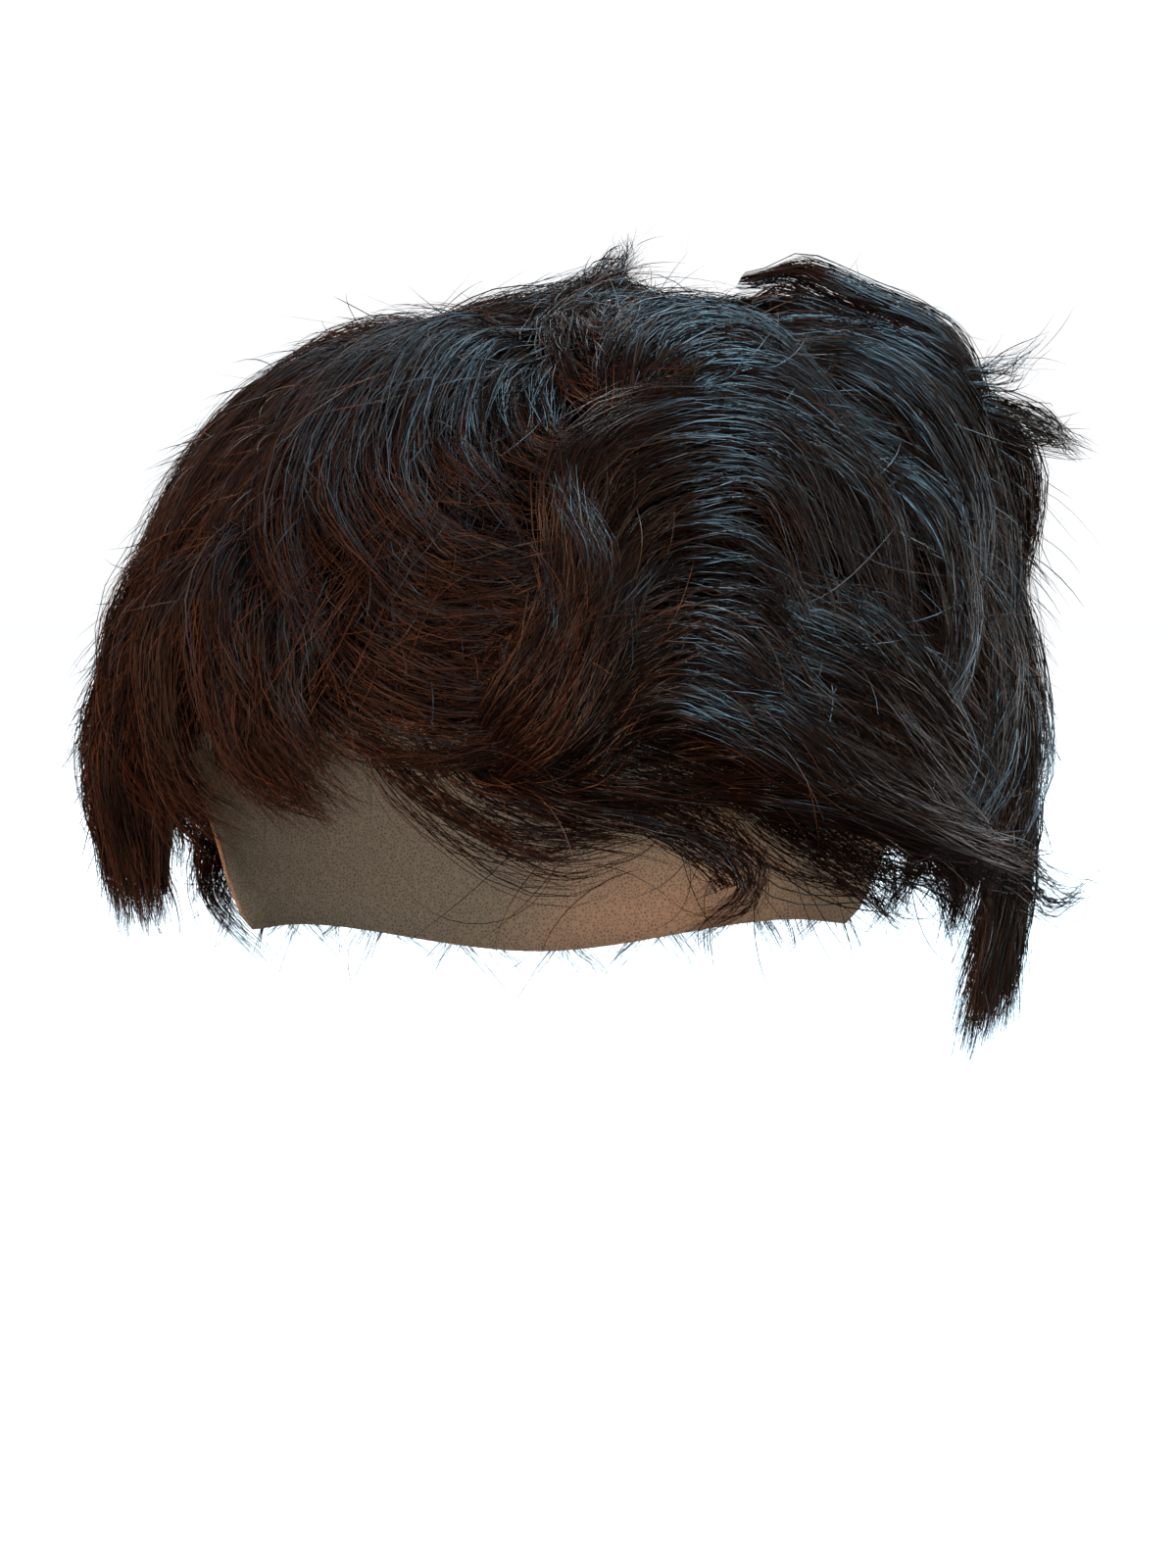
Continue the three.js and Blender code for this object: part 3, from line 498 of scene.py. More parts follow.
# Strands of a lock: their places in its section, clumps, layers and waves. Parts of a length run from 0 to 1,
# clumps lie askew by a slope, and sway, lift, wander, rise and sink are in millimetres.
SECTION_TURN = (-10, 190)
SECTION_RADIUS_SQUARED = (0.25, 1.15)
CLUMPS_PER_MM = 1.5
CLUMP_SPREAD = 0.22
CLUMP_SKEW = 0.06
SKEWED_ABOUT = 0.4
CLUMP_SWAY = 1.7
CLUMP_LIFT = 1.3
CLUMP_WAVE = 6.0
CLUMP_PULL = 0.7
PULLED_BY = 0.9
CLUMP_ENDS = (0.82, 1.06)
FREE_SHARE = 0.35
FREE_PULL = 0.2
WANDER = 0.85
WANDER_RANGE = (0.4, 1.4)
WANDER_LIFT = 0.6
STRAY_WANDER = 1.9
STRAY_RISE = 3.0
STRAY_WIDTH = 0.75
ROOT_SINK = 6.0
ROOT_OUT = 0.16
ROOT_SPREAD = 0.45
SPREAD_BY = 0.25
LOOSENED_BY = 0.6
BLUNT_FROM = 0.3
LAYER_STARTS = (0.0, 0.12, 0.28, 0.45)
LAYER_SHARES = (0.45, 0.2, 0.2, 0.15)
LAYER_SPREAD = (-0.04, 0.06)
SHORTER = 0.11
BLUNTEST = 1.2
END_LIMITS = (0.55, 1.06)
WAVE_CYCLES = (0.5, 1.2)
QUICK_WAVE = 2.6
QUICK_SHARE = 0.25
ROUND_ACROSS = 0.8
ROUND_UP = 0.45
DARKEST = 0.08
LIGHTEST = 0.98
TINT_SHAPE = (1.3, 3.0)


def waves(t, count):
    """A slow and a quick wave along each strand, about 1 high."""
    phase = RANDOM.uniform(0, 2 * np.pi, (2, count, 1))
    turns = 2 * np.pi * RANDOM.uniform(*WAVE_CYCLES, (2, count, 1))
    return np.sin(phase[0] + turns[0] * t) + QUICK_SHARE * np.sin(phase[1] + QUICK_WAVE * turns[1] * t)


def upper_half(count):
    """Places across and up in the upper half of a lock's round section."""
    turn = np.radians(RANDOM.uniform(*SECTION_TURN, count))
    radius = np.sqrt(RANDOM.uniform(*SECTION_RADIUS_SQUARED, count))
    return np.stack([radius * np.cos(turn), radius * np.sin(turn)])


def strand_tints(count):
    """Mostly dark tints with a few light ones."""
    return DARKEST + (LIGHTEST - DARKEST) * RANDOM.beta(*TINT_SHAPE, count)


def lock_strands(hair, lock, path):
    """Strands of one lock, in clumps and in layers that overlap from its root to its tip."""
    count = int(STRANDS_PER_MM * lock.width * lock.share)
    clumps = int(CLUMPS_PER_MM * lock.width)
    mine = RANDOM.integers(0, clumps, count)
    free = RANDOM.random(count) < FREE_SHARE
    stray = RANDOM.random(count) < lock.stray
    clump = upper_half(clumps)[:, mine]
    own = np.where(free, upper_half(count), clump + RANDOM.normal(0, CLUMP_SPREAD, clump.shape))

    start = RANDOM.choice(LAYER_STARTS, count, p=LAYER_SHARES) + RANDOM.uniform(*LAYER_SPREAD, count)
    shorter = RANDOM.exponential(SHORTER * (BLUNTEST - lock.blunt), count)
    end = np.clip(RANDOM.uniform(*CLUMP_ENDS, clumps)[mine] - shorter, *END_LIMITS)
    share = np.linspace(0, 1, STRAND_STEPS)[None, :]
    t = start[:, None] + (end - start)[:, None] * share
    pull = np.where(free, FREE_PULL, CLUMP_PULL)[:, None] * smooth(t, 0, PULLED_BY)
    u, v = own[..., None] * (1 - pull) + clump[..., None] * pull

    wander = (np.where(stray, STRAY_WANDER, WANDER) * RANDOM.uniform(*WANDER_RANGE, count))[:, None]
    phase = RANDOM.uniform(0, 2 * np.pi, (2, clumps))[:, mine, None]
    skew = RANDOM.normal(0, CLUMP_SKEW, clumps)[mine, None] * path.length * (t - SKEWED_ABOUT)
    sway = wander * waves(t, count) + CLUMP_SWAY * np.sin(phase[0] + CLUMP_WAVE * t) + skew
    lift = WANDER_LIFT * wander * waves(t, count) + CLUMP_LIFT * np.sin(phase[1] + CLUMP_WAVE * t)
    loosened = smooth(share, 0, LOOSENED_BY)
    spread = np.maximum(fullness(t), lock.blunt * smooth(t, BLUNT_FROM, 1))
    spread = spread * (ROOT_SPREAD + (1 - ROOT_SPREAD) * smooth(share, 0, SPREAD_BY))
    across = u * spread * lock.width / 2 + sway * loosened
    up = v * spread * lock.thick / 2 + lift * loosened
    up = up + (stray * RANDOM.uniform(0, STRAY_RISE, count))[:, None] * share**2
    up = up - ROOT_SINK * (1 - smooth(t, 0, ROOT_OUT))

    out, side = path.at(path.out, t), path.at(path.across, t)
    line = path.at(path.line, t) + side * across[..., None] + out * up[..., None]
    outward = unit(side * (ROUND_ACROSS * u)[..., None] + out * (np.maximum(v, 0) + ROUND_UP)[..., None])
    width = RANDOM.uniform(*STRAND_WIDTH, count) * np.where(stray, STRAY_WIDTH, 1)
    hair.ribbons(line, outward, width, strand_tints(count))


def back_locks():
    """Locks of the back's rows, evenly round the back, swaying to either side in turn."""
    locks = []
    for row in BACK_ROWS:
        for index in range(row.count):
            azimuth = BACK_FROM + (BACK_TO - BACK_FROM) * (index + 0.5) / row.count
            turn = 1 if index % 2 else -1
            stations = [
                (azimuth + turn * sway, depth * cap_edge(azimuth), height)
                for (depth, height), sway in zip(row[:4], BACK_SWAY)
            ]
            locks.append(Lock(*stations, row.width, row.thick, row.share, row.stray))
    return locks


# Hair under the strands, painted near black as the shade between them, eased down to the cap at its edge
UNDER_ROUNDS = 160
UNDER_RINGS = 44
UNDER_TOP = 0.002
UNDER_DEPTH = 4.0
UNDER_LEAST = 5.5
# Tint that paints the undercoat darker than any strand: painted shade between the strands
UNDER_SHADE_TINT = 0.03
EDGE_INSET = 1.5
EDGE_HEIGHT = 2.0
EDGE_FROM = 0.84


def undercoat(hair, field):
    """A surface a little under the hair's top, from the crown to the cap's edge, painted near black as the
    shade between the strands.
    """
    azimuth = np.linspace(-HALF_TURN, HALF_TURN, UNDER_ROUNDS, endpoint=False)
    share = np.linspace(UNDER_TOP, 1, UNDER_RINGS)
    polar = (cap_edge(azimuth) - EDGE_INSET)[None, :] * share[:, None]
    around = np.broadcast_to(azimuth, polar.shape)
    height = np.maximum(field.at(around, polar)[0] - UNDER_DEPTH, UNDER_LEAST)
    height = height + (EDGE_HEIGHT - height) * smooth(share, EDGE_FROM, 1)[:, None]
    grid = on_head(around, polar, height)
    down = np.gradient(grid, axis=0)
    aside = np.roll(grid, -1, 1) - np.roll(grid, 1, 1)
    hair.surface(grid, unit(np.cross(down, aside)), UNDER_SHADE_TINT)


# Places for hairs all over the cap
KEEP_OFF_EDGE = 4
EDGEWARD = 0.8
NEAREST_CROWN = 0.005


def spread_polar(azimuth):
    """Polar angles spread over the cap's area, a little closer towards its edge."""
    depth = 1 - np.cos(np.radians(cap_edge(azimuth) - KEEP_OFF_EDGE))
    share = RANDOM.uniform(NEAREST_CROWN, 1, len(azimuth)) ** EDGEWARD
    return np.degrees(np.arccos(1 - share * depth))


# Tufts that follow the field over and between the locks, moved up out of the hollow in front
TUFTS = 950
TUFT_STRANDS = 8
TUFT_STEPS = 9
TUFT_STEP = (2.0, 4.0)
TUFT_CURL = 0.12
STRAIGHT_AT = 3
TUFT_SINK = (-2.4, 0.3)
TUFT_WIDTH = 1.0
TUFT_THICK = 0.5
TUFT_CLOSING = 0.6
CLOSES_FROM = 0.2
TUFT_SWAY = 0.5
TUFT_WAVE = 5
SWAYS_BY = 0.5
TUFT_RISE = 0.9
TUFT_ROOT_SINK = 1.6
TUFT_ROOT_OUT = 0.3
TUFT_ROUND = 0.3
HOLLOW_FROM = -2
HOLLOW_TO = 30
HOLLOW_TOP = 44
HOLLOW_SHIFT = 0.6


def tufts(hair, field):
    """Small tufts: guides that step along the field, with a few strands round each."""
    azimuth = RANDOM.uniform(-HALF_TURN, HALF_TURN, TUFTS)
    polar = spread_polar(azimuth)
    hollow = (azimuth > HOLLOW_FROM) & (azimuth < HOLLOW_TO) & (polar > HOLLOW_TOP)
    polar = np.where(hollow, polar * HOLLOW_SHIFT, polar)
    step = RANDOM.uniform(*TUFT_STEP, TUFTS)[:, None]
    curl = RANDOM.normal(0, TUFT_CURL, TUFTS)[:, None]
    sink = RANDOM.uniform(*TUFT_SINK, TUFTS)
    places, outs, ways = [], [], []
    for index in range(TUFT_STEPS):
        height, way = field.at(azimuth, polar)
        place = on_head(azimuth, polar, height + sink)
        out = normal_at(place)
        way = unit(way + np.cross(out, way) * curl * (index - STRAIGHT_AT))
        places.append(place)
        outs.append(out)
        ways.append(way)
        azimuth, polar, _ = place_on_head(place + way * step)

    guide, out = np.stack(places, 1), np.stack(outs, 1)
    across = unit(np.cross(np.stack(ways, 1), out))
    share = np.linspace(0, 1, TUFT_STEPS)[None, :, None]
    close = 1 - TUFT_CLOSING * smooth(share, CLOSES_FROM, 1)
    swaying = TUFT_SWAY * smooth(share, 0, SWAYS_BY)
    root_sink = TUFT_ROOT_SINK * (1 - smooth(share, 0, TUFT_ROOT_OUT))
    each = (TUFTS, 1, 1)
    lines, outwards = [], []
    for _ in range(TUFT_STRANDS):
        u = RANDOM.normal(0, TUFT_WIDTH, each)
        v = RANDOM.normal(0, TUFT_THICK, each)
        phase = RANDOM.uniform(0, 2 * np.pi, each)
        rise = np.abs(RANDOM.normal(0, TUFT_RISE, each))
        sway = u * close + swaying * np.sin(phase + TUFT_WAVE * share)
        lift = v * close + rise * share**2 - root_sink
        lines.append(guide + across * sway + out * lift)
        outwards.append(unit(out + across * u * TUFT_ROUND))
    line, outward = np.concatenate(lines), np.concatenate(outwards)
    count = len(line)
    hair.ribbons(line, outward, RANDOM.uniform(*STRAND_WIDTH, count), strand_tints(count))


# Single thin hairs that cross the locks, closer in front and more tangled on the wearer's right
FRIZZ_STRANDS = 6000
FRIZZ_STEPS = 8
FRIZZ_STEP = (1.4, 3.6)
FRIZZ_FRONT_SHARE = 0.4
FRIZZ_FRONT_SPREAD = 0.5
FRIZZ_TURN = 0.5
TANGLED_TO = -20
TANGLED_TURN = 1.8
FRIZZ_CURL = 0.09
FRIZZ_LIFT = 1.6
FRIZZ_SINK = 1.2
FRIZZ_TINT = (0.1, 0.95)


def frizz(hair, field):
    """Hairs that step along the field at slight angles to it and rise out of it."""
    azimuth = RANDOM.uniform(-HALF_TURN, HALF_TURN, FRIZZ_STRANDS)
    in_front = RANDOM.random(FRIZZ_STRANDS) < FRIZZ_FRONT_SHARE
    azimuth = np.where(in_front, azimuth * FRIZZ_FRONT_SPREAD, azimuth)
    polar = spread_polar(azimuth)
    step = RANDOM.uniform(*FRIZZ_STEP, FRIZZ_STRANDS)[:, None]
    tangle = np.where(azimuth < TANGLED_TO, TANGLED_TURN, 1)
    turn = (RANDOM.normal(0, FRIZZ_TURN, FRIZZ_STRANDS) * tangle)[:, None]
    curl = RANDOM.normal(0, FRIZZ_CURL, FRIZZ_STRANDS)[:, None]
    lift = np.abs(RANDOM.normal(0, FRIZZ_LIFT, FRIZZ_STRANDS))
    lines = []
    for index in range(FRIZZ_STEPS):
        height, way = field.at(azimuth, polar)
        rise = (FRIZZ_SINK + lift) * smooth(index / (FRIZZ_STEPS - 1), 0, 1)
        place = on_head(azimuth, polar, height - FRIZZ_SINK + rise)
        lines.append(place)
        angle = turn + curl * index
        way = way * np.cos(angle) + np.cross(normal_at(place), way) * np.sin(angle)
        azimuth, polar, _ = place_on_head(place + way * step)
    line = np.stack(lines, 1)
    tint = RANDOM.uniform(*FRIZZ_TINT, FRIZZ_STRANDS)
    hair.ribbons(line, normal_at(line), RANDOM.uniform(*FINE_WIDTH, FRIZZ_STRANDS), tint)


# Short curled hairs that stand off all over, closer on the wearer's right
FUZZ_STRANDS = 6000
FUZZ_STEPS = 6
FUZZ_LENGTH = (5, 14)
FUZZ_RIGHT_SHARE = 0.35
FUZZ_RIGHT_AT = -88
FUZZ_RIGHT_SPREAD = 0.15
FUZZ_SINK = 0.5
FUZZ_TURN = 0.7
FUZZ_RISE = (0.25, 0.9)
FUZZ_DROOP = 0.45
FUZZ_CURL = 0.5
FUZZ_TINT = (0.1, 0.9)


def fuzz(hair, field):
    """Hairs that leave the surface at random angles and bend."""
    azimuth = RANDOM.uniform(-HALF_TURN, HALF_TURN, FUZZ_STRANDS)
    on_right = RANDOM.random(FUZZ_STRANDS) < FUZZ_RIGHT_SHARE
    azimuth = np.where(on_right, FUZZ_RIGHT_AT + azimuth * FUZZ_RIGHT_SPREAD, azimuth)
    polar = spread_polar(azimuth)
    height, way = field.at(azimuth, polar)
    base = on_head(azimuth, polar, height - FUZZ_SINK)
    out = normal_at(base)
    turn = RANDOM.normal(0, FUZZ_TURN, FUZZ_STRANDS)[:, None]
    way = way * np.cos(turn) + np.cross(out, way) * np.sin(turn)
    side = np.cross(out, way)
    length = RANDOM.uniform(*FUZZ_LENGTH, FUZZ_STRANDS)[:, None, None]
    rise = RANDOM.uniform(*FUZZ_RISE, FUZZ_STRANDS)[:, None, None]
    curl = RANDOM.normal(0, FUZZ_CURL, FUZZ_STRANDS)[:, None, None]
    share = np.linspace(0, 1, FUZZ_STEPS)[None, :, None]
    ahead = way[:, None] * share
    up = out[:, None] * rise * (share - FUZZ_DROOP * share**2)
    line = base[:, None] + length * (ahead + up + side[:, None] * curl * share**2)
    tint = RANDOM.uniform(*FUZZ_TINT, FUZZ_STRANDS)
    hair.ribbons(line, normal_at(line), RANDOM.uniform(*FINE_WIDTH, FUZZ_STRANDS), tint)


# Loose hairs that stand off the locks. from and side are parts of a lock's length and half width.
LOOSE_STRANDS = 1900
LOOSE_STEPS = 9
LOOSE_FROM = (0.1, 0.9)
LOOSE_SIDE = (-0.8, 0.8)
LOOSE_DEPTH = 0.6
LOOSE_LENGTH = (5, 17)
LOOSE_AHEAD = 0.9
LOOSE_RISE = (0.05, 0.6)
LOOSE_DROOP = (-0.05, 0.35)
LOOSE_SWING = 0.5
LOOSE_WIDTH = (0.1, 0.16)
LOOSE_TINT = (0.2, 0.9)


def loose(hair, paths, locks):
    """Hairs that leave the locks along them, rise, droop and swing aside."""
    pick = RANDOM.integers(0, len(paths), LOOSE_STRANDS)
    t = RANDOM.uniform(*LOOSE_FROM, LOOSE_STRANDS)
    side = RANDOM.uniform(*LOOSE_SIDE, LOOSE_STRANDS)
    share = np.linspace(0, 1, LOOSE_STEPS)
    length = RANDOM.uniform(*LOOSE_LENGTH, LOOSE_STRANDS)
    rise = RANDOM.uniform(*LOOSE_RISE, LOOSE_STRANDS)
    droop = RANDOM.uniform(*LOOSE_DROOP, LOOSE_STRANDS)
    swing = RANDOM.normal(0, LOOSE_SWING, LOOSE_STRANDS)
    lines = []
    for index in range(LOOSE_STRANDS):
        path, lock = paths[pick[index]], locks[pick[index]]
        samples = (path.line, path.tangent, path.out, path.across)
        place, tangent, out, across = (path.at(values, t[index]) for values in samples)
        half = fullness(t[index]) / 2
        place = place + across * side[index] * lock.width * half
        place = place + out * LOOSE_DEPTH * lock.thick * half
        reach = length[index] * share[:, None]
        bend = length[index] * (share**2)[:, None]
        up = out * (reach * rise[index] - bend * droop[index])
        lines.append(place + tangent * reach * LOOSE_AHEAD + up + across * bend * swing[index])
    line = np.stack(lines)
    tint = RANDOM.uniform(*LOOSE_TINT, LOOSE_STRANDS)
    hair.ribbons(line, normal_at(line), RANDOM.uniform(*LOOSE_WIDTH, LOOSE_STRANDS), tint)


# Single curled hairs that lie on the forehead below the fringe
WISPS = 36
WISP_STEPS = 13
WISP_STEP = (1.2, 2.8)
WISP_AZIMUTH = (-6, 46)
WISP_POLAR = (76, 83)
WISP_HEADING = (-0.3, 1.4)
WISP_CURL = 0.16
WISP_HEIGHT = (5, 9)
WISP_SINK = 0.4
WISP_WIDTH = (0.12, 0.18)
WISP_TINT = (0.1, 0.5)
DOWNWARD = np.array([0.0, 0.0, -1.0])


def wisps(hair):
    """Hairs that step down the forehead on a curve and come closer to it."""
    azimuth = RANDOM.uniform(*WISP_AZIMUTH, WISPS)
    polar = RANDOM.uniform(*WISP_POLAR, WISPS)
    step = RANDOM.uniform(*WISP_STEP, WISPS)[:, None]
    heading = RANDOM.uniform(*WISP_HEADING, WISPS)[:, None]
    curl = RANDOM.normal(0, WISP_CURL, WISPS)[:, None]
    height = RANDOM.uniform(*WISP_HEIGHT, WISPS)
    lines = []
    for index in range(WISP_STEPS):
        place = on_head(azimuth, polar, height * (1 - WISP_SINK * index / WISP_STEPS))
        lines.append(place)
        out = normal_at(place)
        down = unit(np.cross(np.cross(out, DOWNWARD), out))
        aside = np.cross(out, down)
        angle = heading + curl * index
        way = down * np.cos(angle) - aside * np.sin(angle)
        azimuth, polar, _ = place_on_head(place + way * step)
    line = np.stack(lines, 1)
    width = RANDOM.uniform(*WISP_WIDTH, WISPS)
    hair.ribbons(line, normal_at(line), width, RANDOM.uniform(*WISP_TINT, WISPS))


# Materials
RAMP_MIDDLE = 0.5


def material(name):
    """A new node material, with its nodes, links and shader."""
    made = bpy.data.materials.new(name)
    made.use_nodes = True
    nodes, links = made.node_tree.nodes, made.node_tree.links
    return made, nodes, links, nodes["Principled BSDF"]


def ramp(nodes, stops):
    """A colour ramp through stops of a place and a colour."""
    made = nodes.new("ShaderNodeValToRGB")
    elements = made.color_ramp.elements
    while len(elements) < len(stops):
        elements.new(RAMP_MIDDLE)
    for element, (place, colour) in zip(elements, stops):
        element.position = place
        element.color = (*colour, 1)
    return made


# Colour of a strand by its tint, and what that is multiplied by from root to tip. The stops below 0.07 are
# darker than any strand and colour only the undercoat, as painted shade between the strands.
HAIR_TINTS = [
    (0.0, (0.0016, 0.0010, 0.0008)),
    (0.05, (0.0024, 0.0014, 0.0011)),
    (0.07, (0.0065, 0.0032, 0.0022)),
    (0.45, (0.0210, 0.0088, 0.0048)),
    (0.8, (0.0620, 0.0220, 0.0100)),
    (1.0, (0.1300, 0.0480, 0.0210)),
]
ROOT_TO_TIP = [(0.0, (0.55, 0.55, 0.55)), (0.35, (1.0, 1.0, 1.0)), (1.0, (1.35, 1.2, 1.1))]
# The hair is duller on the wearer's right, up to one side-to-side place, and glossy from another
DULL_TO = -40
GLOSSY_FROM = 5
DULL_ROUGHNESS = 0.5
GLOSSY_ROUGHNESS = 0.25
HAIR_SPECULAR = 0.32


def hair_material():
    """Strands coloured by their tint and their length, with a gloss that changes from side to side."""
    made, nodes, links, shader = material("hair")
    place = nodes.new("ShaderNodeUVMap")
    place.uv_map = MAP_NAME
    split = nodes.new("ShaderNodeSeparateXYZ")
    links.new(place.outputs["UV"], split.inputs[0])
    tint = ramp(nodes, HAIR_TINTS)
    links.new(split.outputs["X"], tint.inputs["Fac"])
    tone = ramp(nodes, ROOT_TO_TIP)
    links.new(split.outputs["Y"], tone.inputs["Fac"])
    mix = nodes.new("ShaderNodeMix")
    mix.data_type = "RGBA"
    mix.blend_type = "MULTIPLY"
    mix.inputs["Factor"].default_value = 1
    links.new(tint.outputs["Color"], mix.inputs["A"])
    links.new(tone.outputs["Color"], mix.inputs["B"])
    links.new(mix.outputs["Result"], shader.inputs["Base Color"])
    where = nodes.new("ShaderNodeTexCoord")
    sides = nodes.new("ShaderNodeSeparateXYZ")
    links.new(where.outputs["Object"], sides.inputs[0])
    dull = nodes.new("ShaderNodeMapRange")
    dull.inputs["From Min"].default_value = DULL_TO * MM
    dull.inputs["From Max"].default_value = GLOSSY_FROM * MM
    dull.inputs["To Min"].default_value = DULL_ROUGHNESS
    dull.inputs["To Max"].default_value = GLOSSY_ROUGHNESS
    links.new(sides.outputs["X"], dull.inputs["Value"])
    links.new(dull.outputs["Result"], shader.inputs["Roughness"])
    shader.inputs["Specular IOR Level"].default_value = HAIR_SPECULAR
    return made


# Net of the lace: cells for each metre, colours, and the places in a cell where thread ends and hole begins
NET_SCALE = 1300
NET_THREAD = (0.72, 0.6, 0.46)
NET_HOLE = (0.42, 0.34, 0.25)
THREAD_TO = 0.1
HOLE_FROM = 0.22
NET_BUMP = 0.6
NET_DEPTH = 0.4
LACE_ROUGHNESS = 0.85


def lace_material():
    """Fine net with raised threads."""
    made, nodes, links, shader = material("lace")
    place = nodes.new("ShaderNodeTexCoord")
    net = nodes.new("ShaderNodeTexVoronoi")
    net.feature = "DISTANCE_TO_EDGE"
    net.inputs["Scale"].default_value = NET_SCALE
    links.new(place.outputs["Object"], net.inputs["Vector"])
    colour = ramp(nodes, [(0.0, NET_THREAD), (THREAD_TO, NET_THREAD), (HOLE_FROM, NET_HOLE)])
    links.new(net.outputs["Distance"], colour.inputs["Fac"])
    links.new(colour.outputs["Color"], shader.inputs["Base Color"])
    bump = nodes.new("ShaderNodeBump")
    bump.invert = True
    bump.inputs["Strength"].default_value = NET_BUMP
    bump.inputs["Distance"].default_value = NET_DEPTH * MM
    links.new(net.outputs["Distance"], bump.inputs["Height"])
    links.new(bump.outputs["Normal"], shader.inputs["Normal"])
    shader.inputs["Roughness"].default_value = LACE_ROUGHNESS
    return made


# Lace cap
CAP_WALL = 1.0
CAP_ROUNDS = 120
CAP_RINGS = 30
CAP_TOP = 0.004


def lace_cap():
    """Closed thin wall between an inner and an outer skin, from the crown to the edge."""
    azimuth = np.linspace(0, FULL_TURN, CAP_ROUNDS, endpoint=False)
    share = np.linspace(CAP_TOP, 1, CAP_RINGS)
    polar = cap_edge(azimuth)[None, :] * share[:, None]
    around = np.broadcast_to(azimuth, polar.shape)
    inner = on_head(around, polar, np.zeros_like(polar))
    outer = on_head(around, polar, np.full_like(polar, CAP_WALL))
    grid = np.concatenate([inner, outer[::-1]])
    rows, columns = grid.shape[:2]
    row, column = np.meshgrid(np.arange(rows), np.arange(columns), indexing="ij")
    here, below = row * columns, (row + 1) % rows * columns
    after = (column + 1) % columns
    faces = np.stack([here + column, below + column, below + after, here + after], -1).reshape(-1, 4)
    mesh = bpy.data.meshes.new("lace_cap_net")
    mesh.from_pydata((grid.reshape(-1, 3) * MM).tolist(), [], faces.tolist())
    mesh.polygons.foreach_set("use_smooth", np.ones(len(mesh.polygons), bool))
    return mesh


def show(name, data):
    """A new object in the scene."""
    made = bpy.data.objects.new(name, data)
    bpy.context.scene.collection.objects.link(made)
    return made


def place_piece(name, mesh, look, node):
    """A piece that rides on the body and stands for a node."""
    made = show(name, mesh)
    mesh.materials.append(look)
    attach(made, "root")
    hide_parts(node)
    return made


# Camera: the view's angle and distance to the head's centre, and where that centre stands in the picture
VIEW_AZIMUTH = -3.5
VIEW_ELEVATION = 8
VIEW_DISTANCE = 480
PICTURE_WIDTH = 1200
PICTURE_HEIGHT = 1600
CENTRE_ACROSS = 578
CENTRE_DOWN = 885
PIXELS_PER_MM = 5.23
SENSOR = 36


def camera():
    """The camera, level and aimed at the head's centre, with its picture shifted."""
    a, e = np.radians(VIEW_AZIMUTH), np.radians(VIEW_ELEVATION)
    way = np.array([np.sin(a) * np.cos(e), -np.cos(a) * np.cos(e), np.sin(e)])
    data = bpy.data.cameras.new("camera")
    data.sensor_fit = "VERTICAL"
    data.sensor_height = SENSOR
    data.lens = SENSOR * PIXELS_PER_MM * VIEW_DISTANCE / PICTURE_HEIGHT
    data.shift_x = (PICTURE_WIDTH / 2 - CENTRE_ACROSS) / PICTURE_HEIGHT
    data.shift_y = (CENTRE_DOWN - PICTURE_HEIGHT / 2) / PICTURE_HEIGHT
    made = show("camera", data)
    made.location = (CENTRE + way * VIEW_DISTANCE) * MM
    made.rotation_euler = Vector(-way).to_track_quat("-Z", "Y").to_euler()
    bpy.context.scene.camera = made


# Soft square lights. place and aim are in metres, power in watts and size, a side, in metres.
MIDDLE = (0, 0, -0.09)
UNDER_FRINGE = (0, 0.08, -0.1)
Light = namedtuple("Light", "name place aim power size colour")
LIGHTS = [
    Light("warm_side", (-0.9, -0.5, 0.15), MIDDLE, 9, 0.35, (1.0, 0.42, 0.21)),
    Light("cool_top", (0.52, -0.3, 0.82), MIDDLE, 24, 0.45, (0.38, 0.74, 1.0)),
    Light("cool_side", (0.8, -0.5, 0.5), MIDDLE, 3.5, 0.4, (0.62, 0.85, 1.0)),
    Light("pale_side", (1.0, 0.35, 0.1), MIDDLE, 4, 0.4, (0.95, 0.97, 1.0)),
    Light("pale_back", (-0.3, 0.8, 0.9), MIDDLE, 5, 0.5, (0.9, 0.95, 1.0)),
    Light("low_front", (-0.1, -0.9, -0.05), UNDER_FRINGE, 1.8, 0.12, (1.0, 0.95, 0.88)),
]
WORLD_GLOW = 0.05
WHITE = (1, 1, 1, 1)


def shine(light):
    """One soft square light at its place, aimed."""
    data = bpy.data.lights.new(light.name, "AREA")
    data.energy = light.power
    data.size = light.size
    data.color = light.colour
    made = show(light.name, data)
    made.location = light.place
    toward = Vector(light.aim) - made.location
    made.rotation_euler = toward.to_track_quat("-Z", "Y").to_euler()


def surroundings():
    """Faint even light from all round."""
    world = bpy.data.worlds.new("world")
    bpy.context.scene.world = world
    world.use_nodes = True
    background = world.node_tree.nodes["Background"]
    background.inputs["Color"].default_value = WHITE
    background.inputs["Strength"].default_value = WORLD_GLOW


# Floor, in metres
FLOOR_RADIUS = 2.2
FLOOR_TURN = 0.8
FLOOR_TURN_STEPS = 17
FLOOR_MIDDLE = 0.01
FLOOR_ROUNDS = 64
WALL_HEIGHT = 3.0
FLOOR_COLOUR = (0.9, 0.9, 0.9, 1)
FLOOR_ROUGHNESS = 0.9
FLOOR_GLOW = 0.9


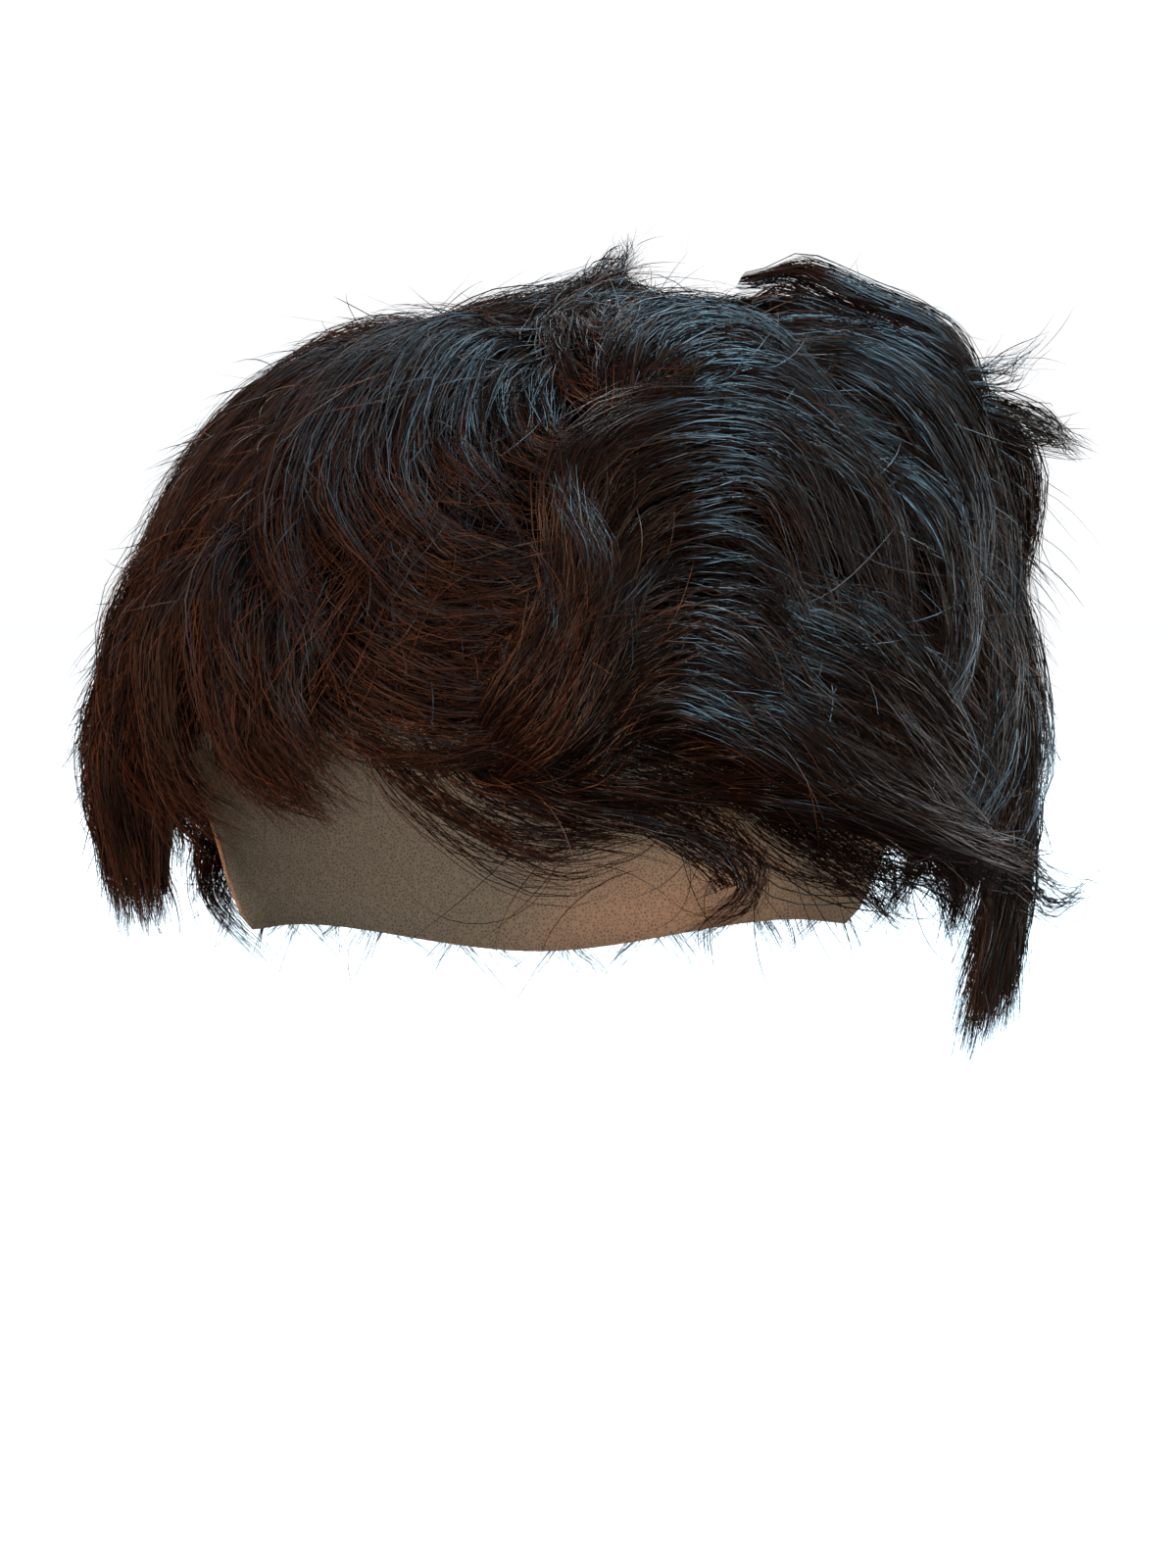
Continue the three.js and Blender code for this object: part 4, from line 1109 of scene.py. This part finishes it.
def floor(level):
    """Round pale floor that turns up into a wall all the way round."""
    turn = np.linspace(0, np.pi / 2, FLOOR_TURN_STEPS)
    outermost = FLOOR_RADIUS + FLOOR_TURN
    radius = np.concatenate([[FLOOR_MIDDLE], FLOOR_RADIUS + FLOOR_TURN * np.sin(turn), [outermost]])
    z = np.concatenate([[0], FLOOR_TURN * (1 - np.cos(turn)), [WALL_HEIGHT]]) + level
    around = np.linspace(0, 2 * np.pi, FLOOR_ROUNDS, endpoint=False)
    points = [(r * np.cos(a), r * np.sin(a), high) for r, high in zip(radius, z) for a in around]
    faces = [tuple(range(FLOOR_ROUNDS))]
    for ring in range(len(z) - 1):
        low, high = ring * FLOOR_ROUNDS, (ring + 1) * FLOOR_ROUNDS
        for i in range(FLOOR_ROUNDS):
            after = (i + 1) % FLOOR_ROUNDS
            faces.append((low + i, high + i, high + after, low + after))
    mesh = bpy.data.meshes.new("floor")
    mesh.from_pydata(points, [], faces)
    mesh.polygons.foreach_set("use_smooth", np.ones(len(faces), bool))
    made = show("floor", mesh)
    look, _, _, shader = material("floor")
    shader.inputs["Base Color"].default_value = FLOOR_COLOUR
    shader.inputs["Roughness"].default_value = FLOOR_ROUGHNESS
    shader.inputs["Emission Color"].default_value = WHITE
    shader.inputs["Emission Strength"].default_value = FLOOR_GLOW
    mesh.materials.append(look)
    made.visible_glossy = False
    made.visible_diffuse = False
    made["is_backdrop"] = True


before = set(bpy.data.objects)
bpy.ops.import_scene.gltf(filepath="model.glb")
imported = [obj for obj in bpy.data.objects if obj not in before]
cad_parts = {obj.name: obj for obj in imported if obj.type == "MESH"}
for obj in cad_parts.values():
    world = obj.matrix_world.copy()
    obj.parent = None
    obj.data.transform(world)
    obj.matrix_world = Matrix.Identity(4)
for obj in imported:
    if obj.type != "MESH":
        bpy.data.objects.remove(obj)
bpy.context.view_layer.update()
camera()

locks = LOCKS + back_locks()
paths = [Path(lock) for lock in locks]
field = Field(locks, paths)
hair = Hair()
undercoat(hair, field)
for lock, path in zip(locks, paths):
    lock_strands(hair, lock, path)
tufts(hair, field)
frizz(hair, field)
fuzz(hair, field)
loose(hair, paths, locks)
wisps(hair)

hair_look = hair_material()
for name in PIECES:
    piece = place_piece(name + "_strands", hair.mesh(name), hair_look, name)
place_piece("lace_cap_net", lace_cap(), lace_material(), "lace_cap")

floor(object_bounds()[0][2])
surroundings()
bpy.context.scene.view_settings.view_transform = "Standard"
for light in LIGHTS:
    shine(light)
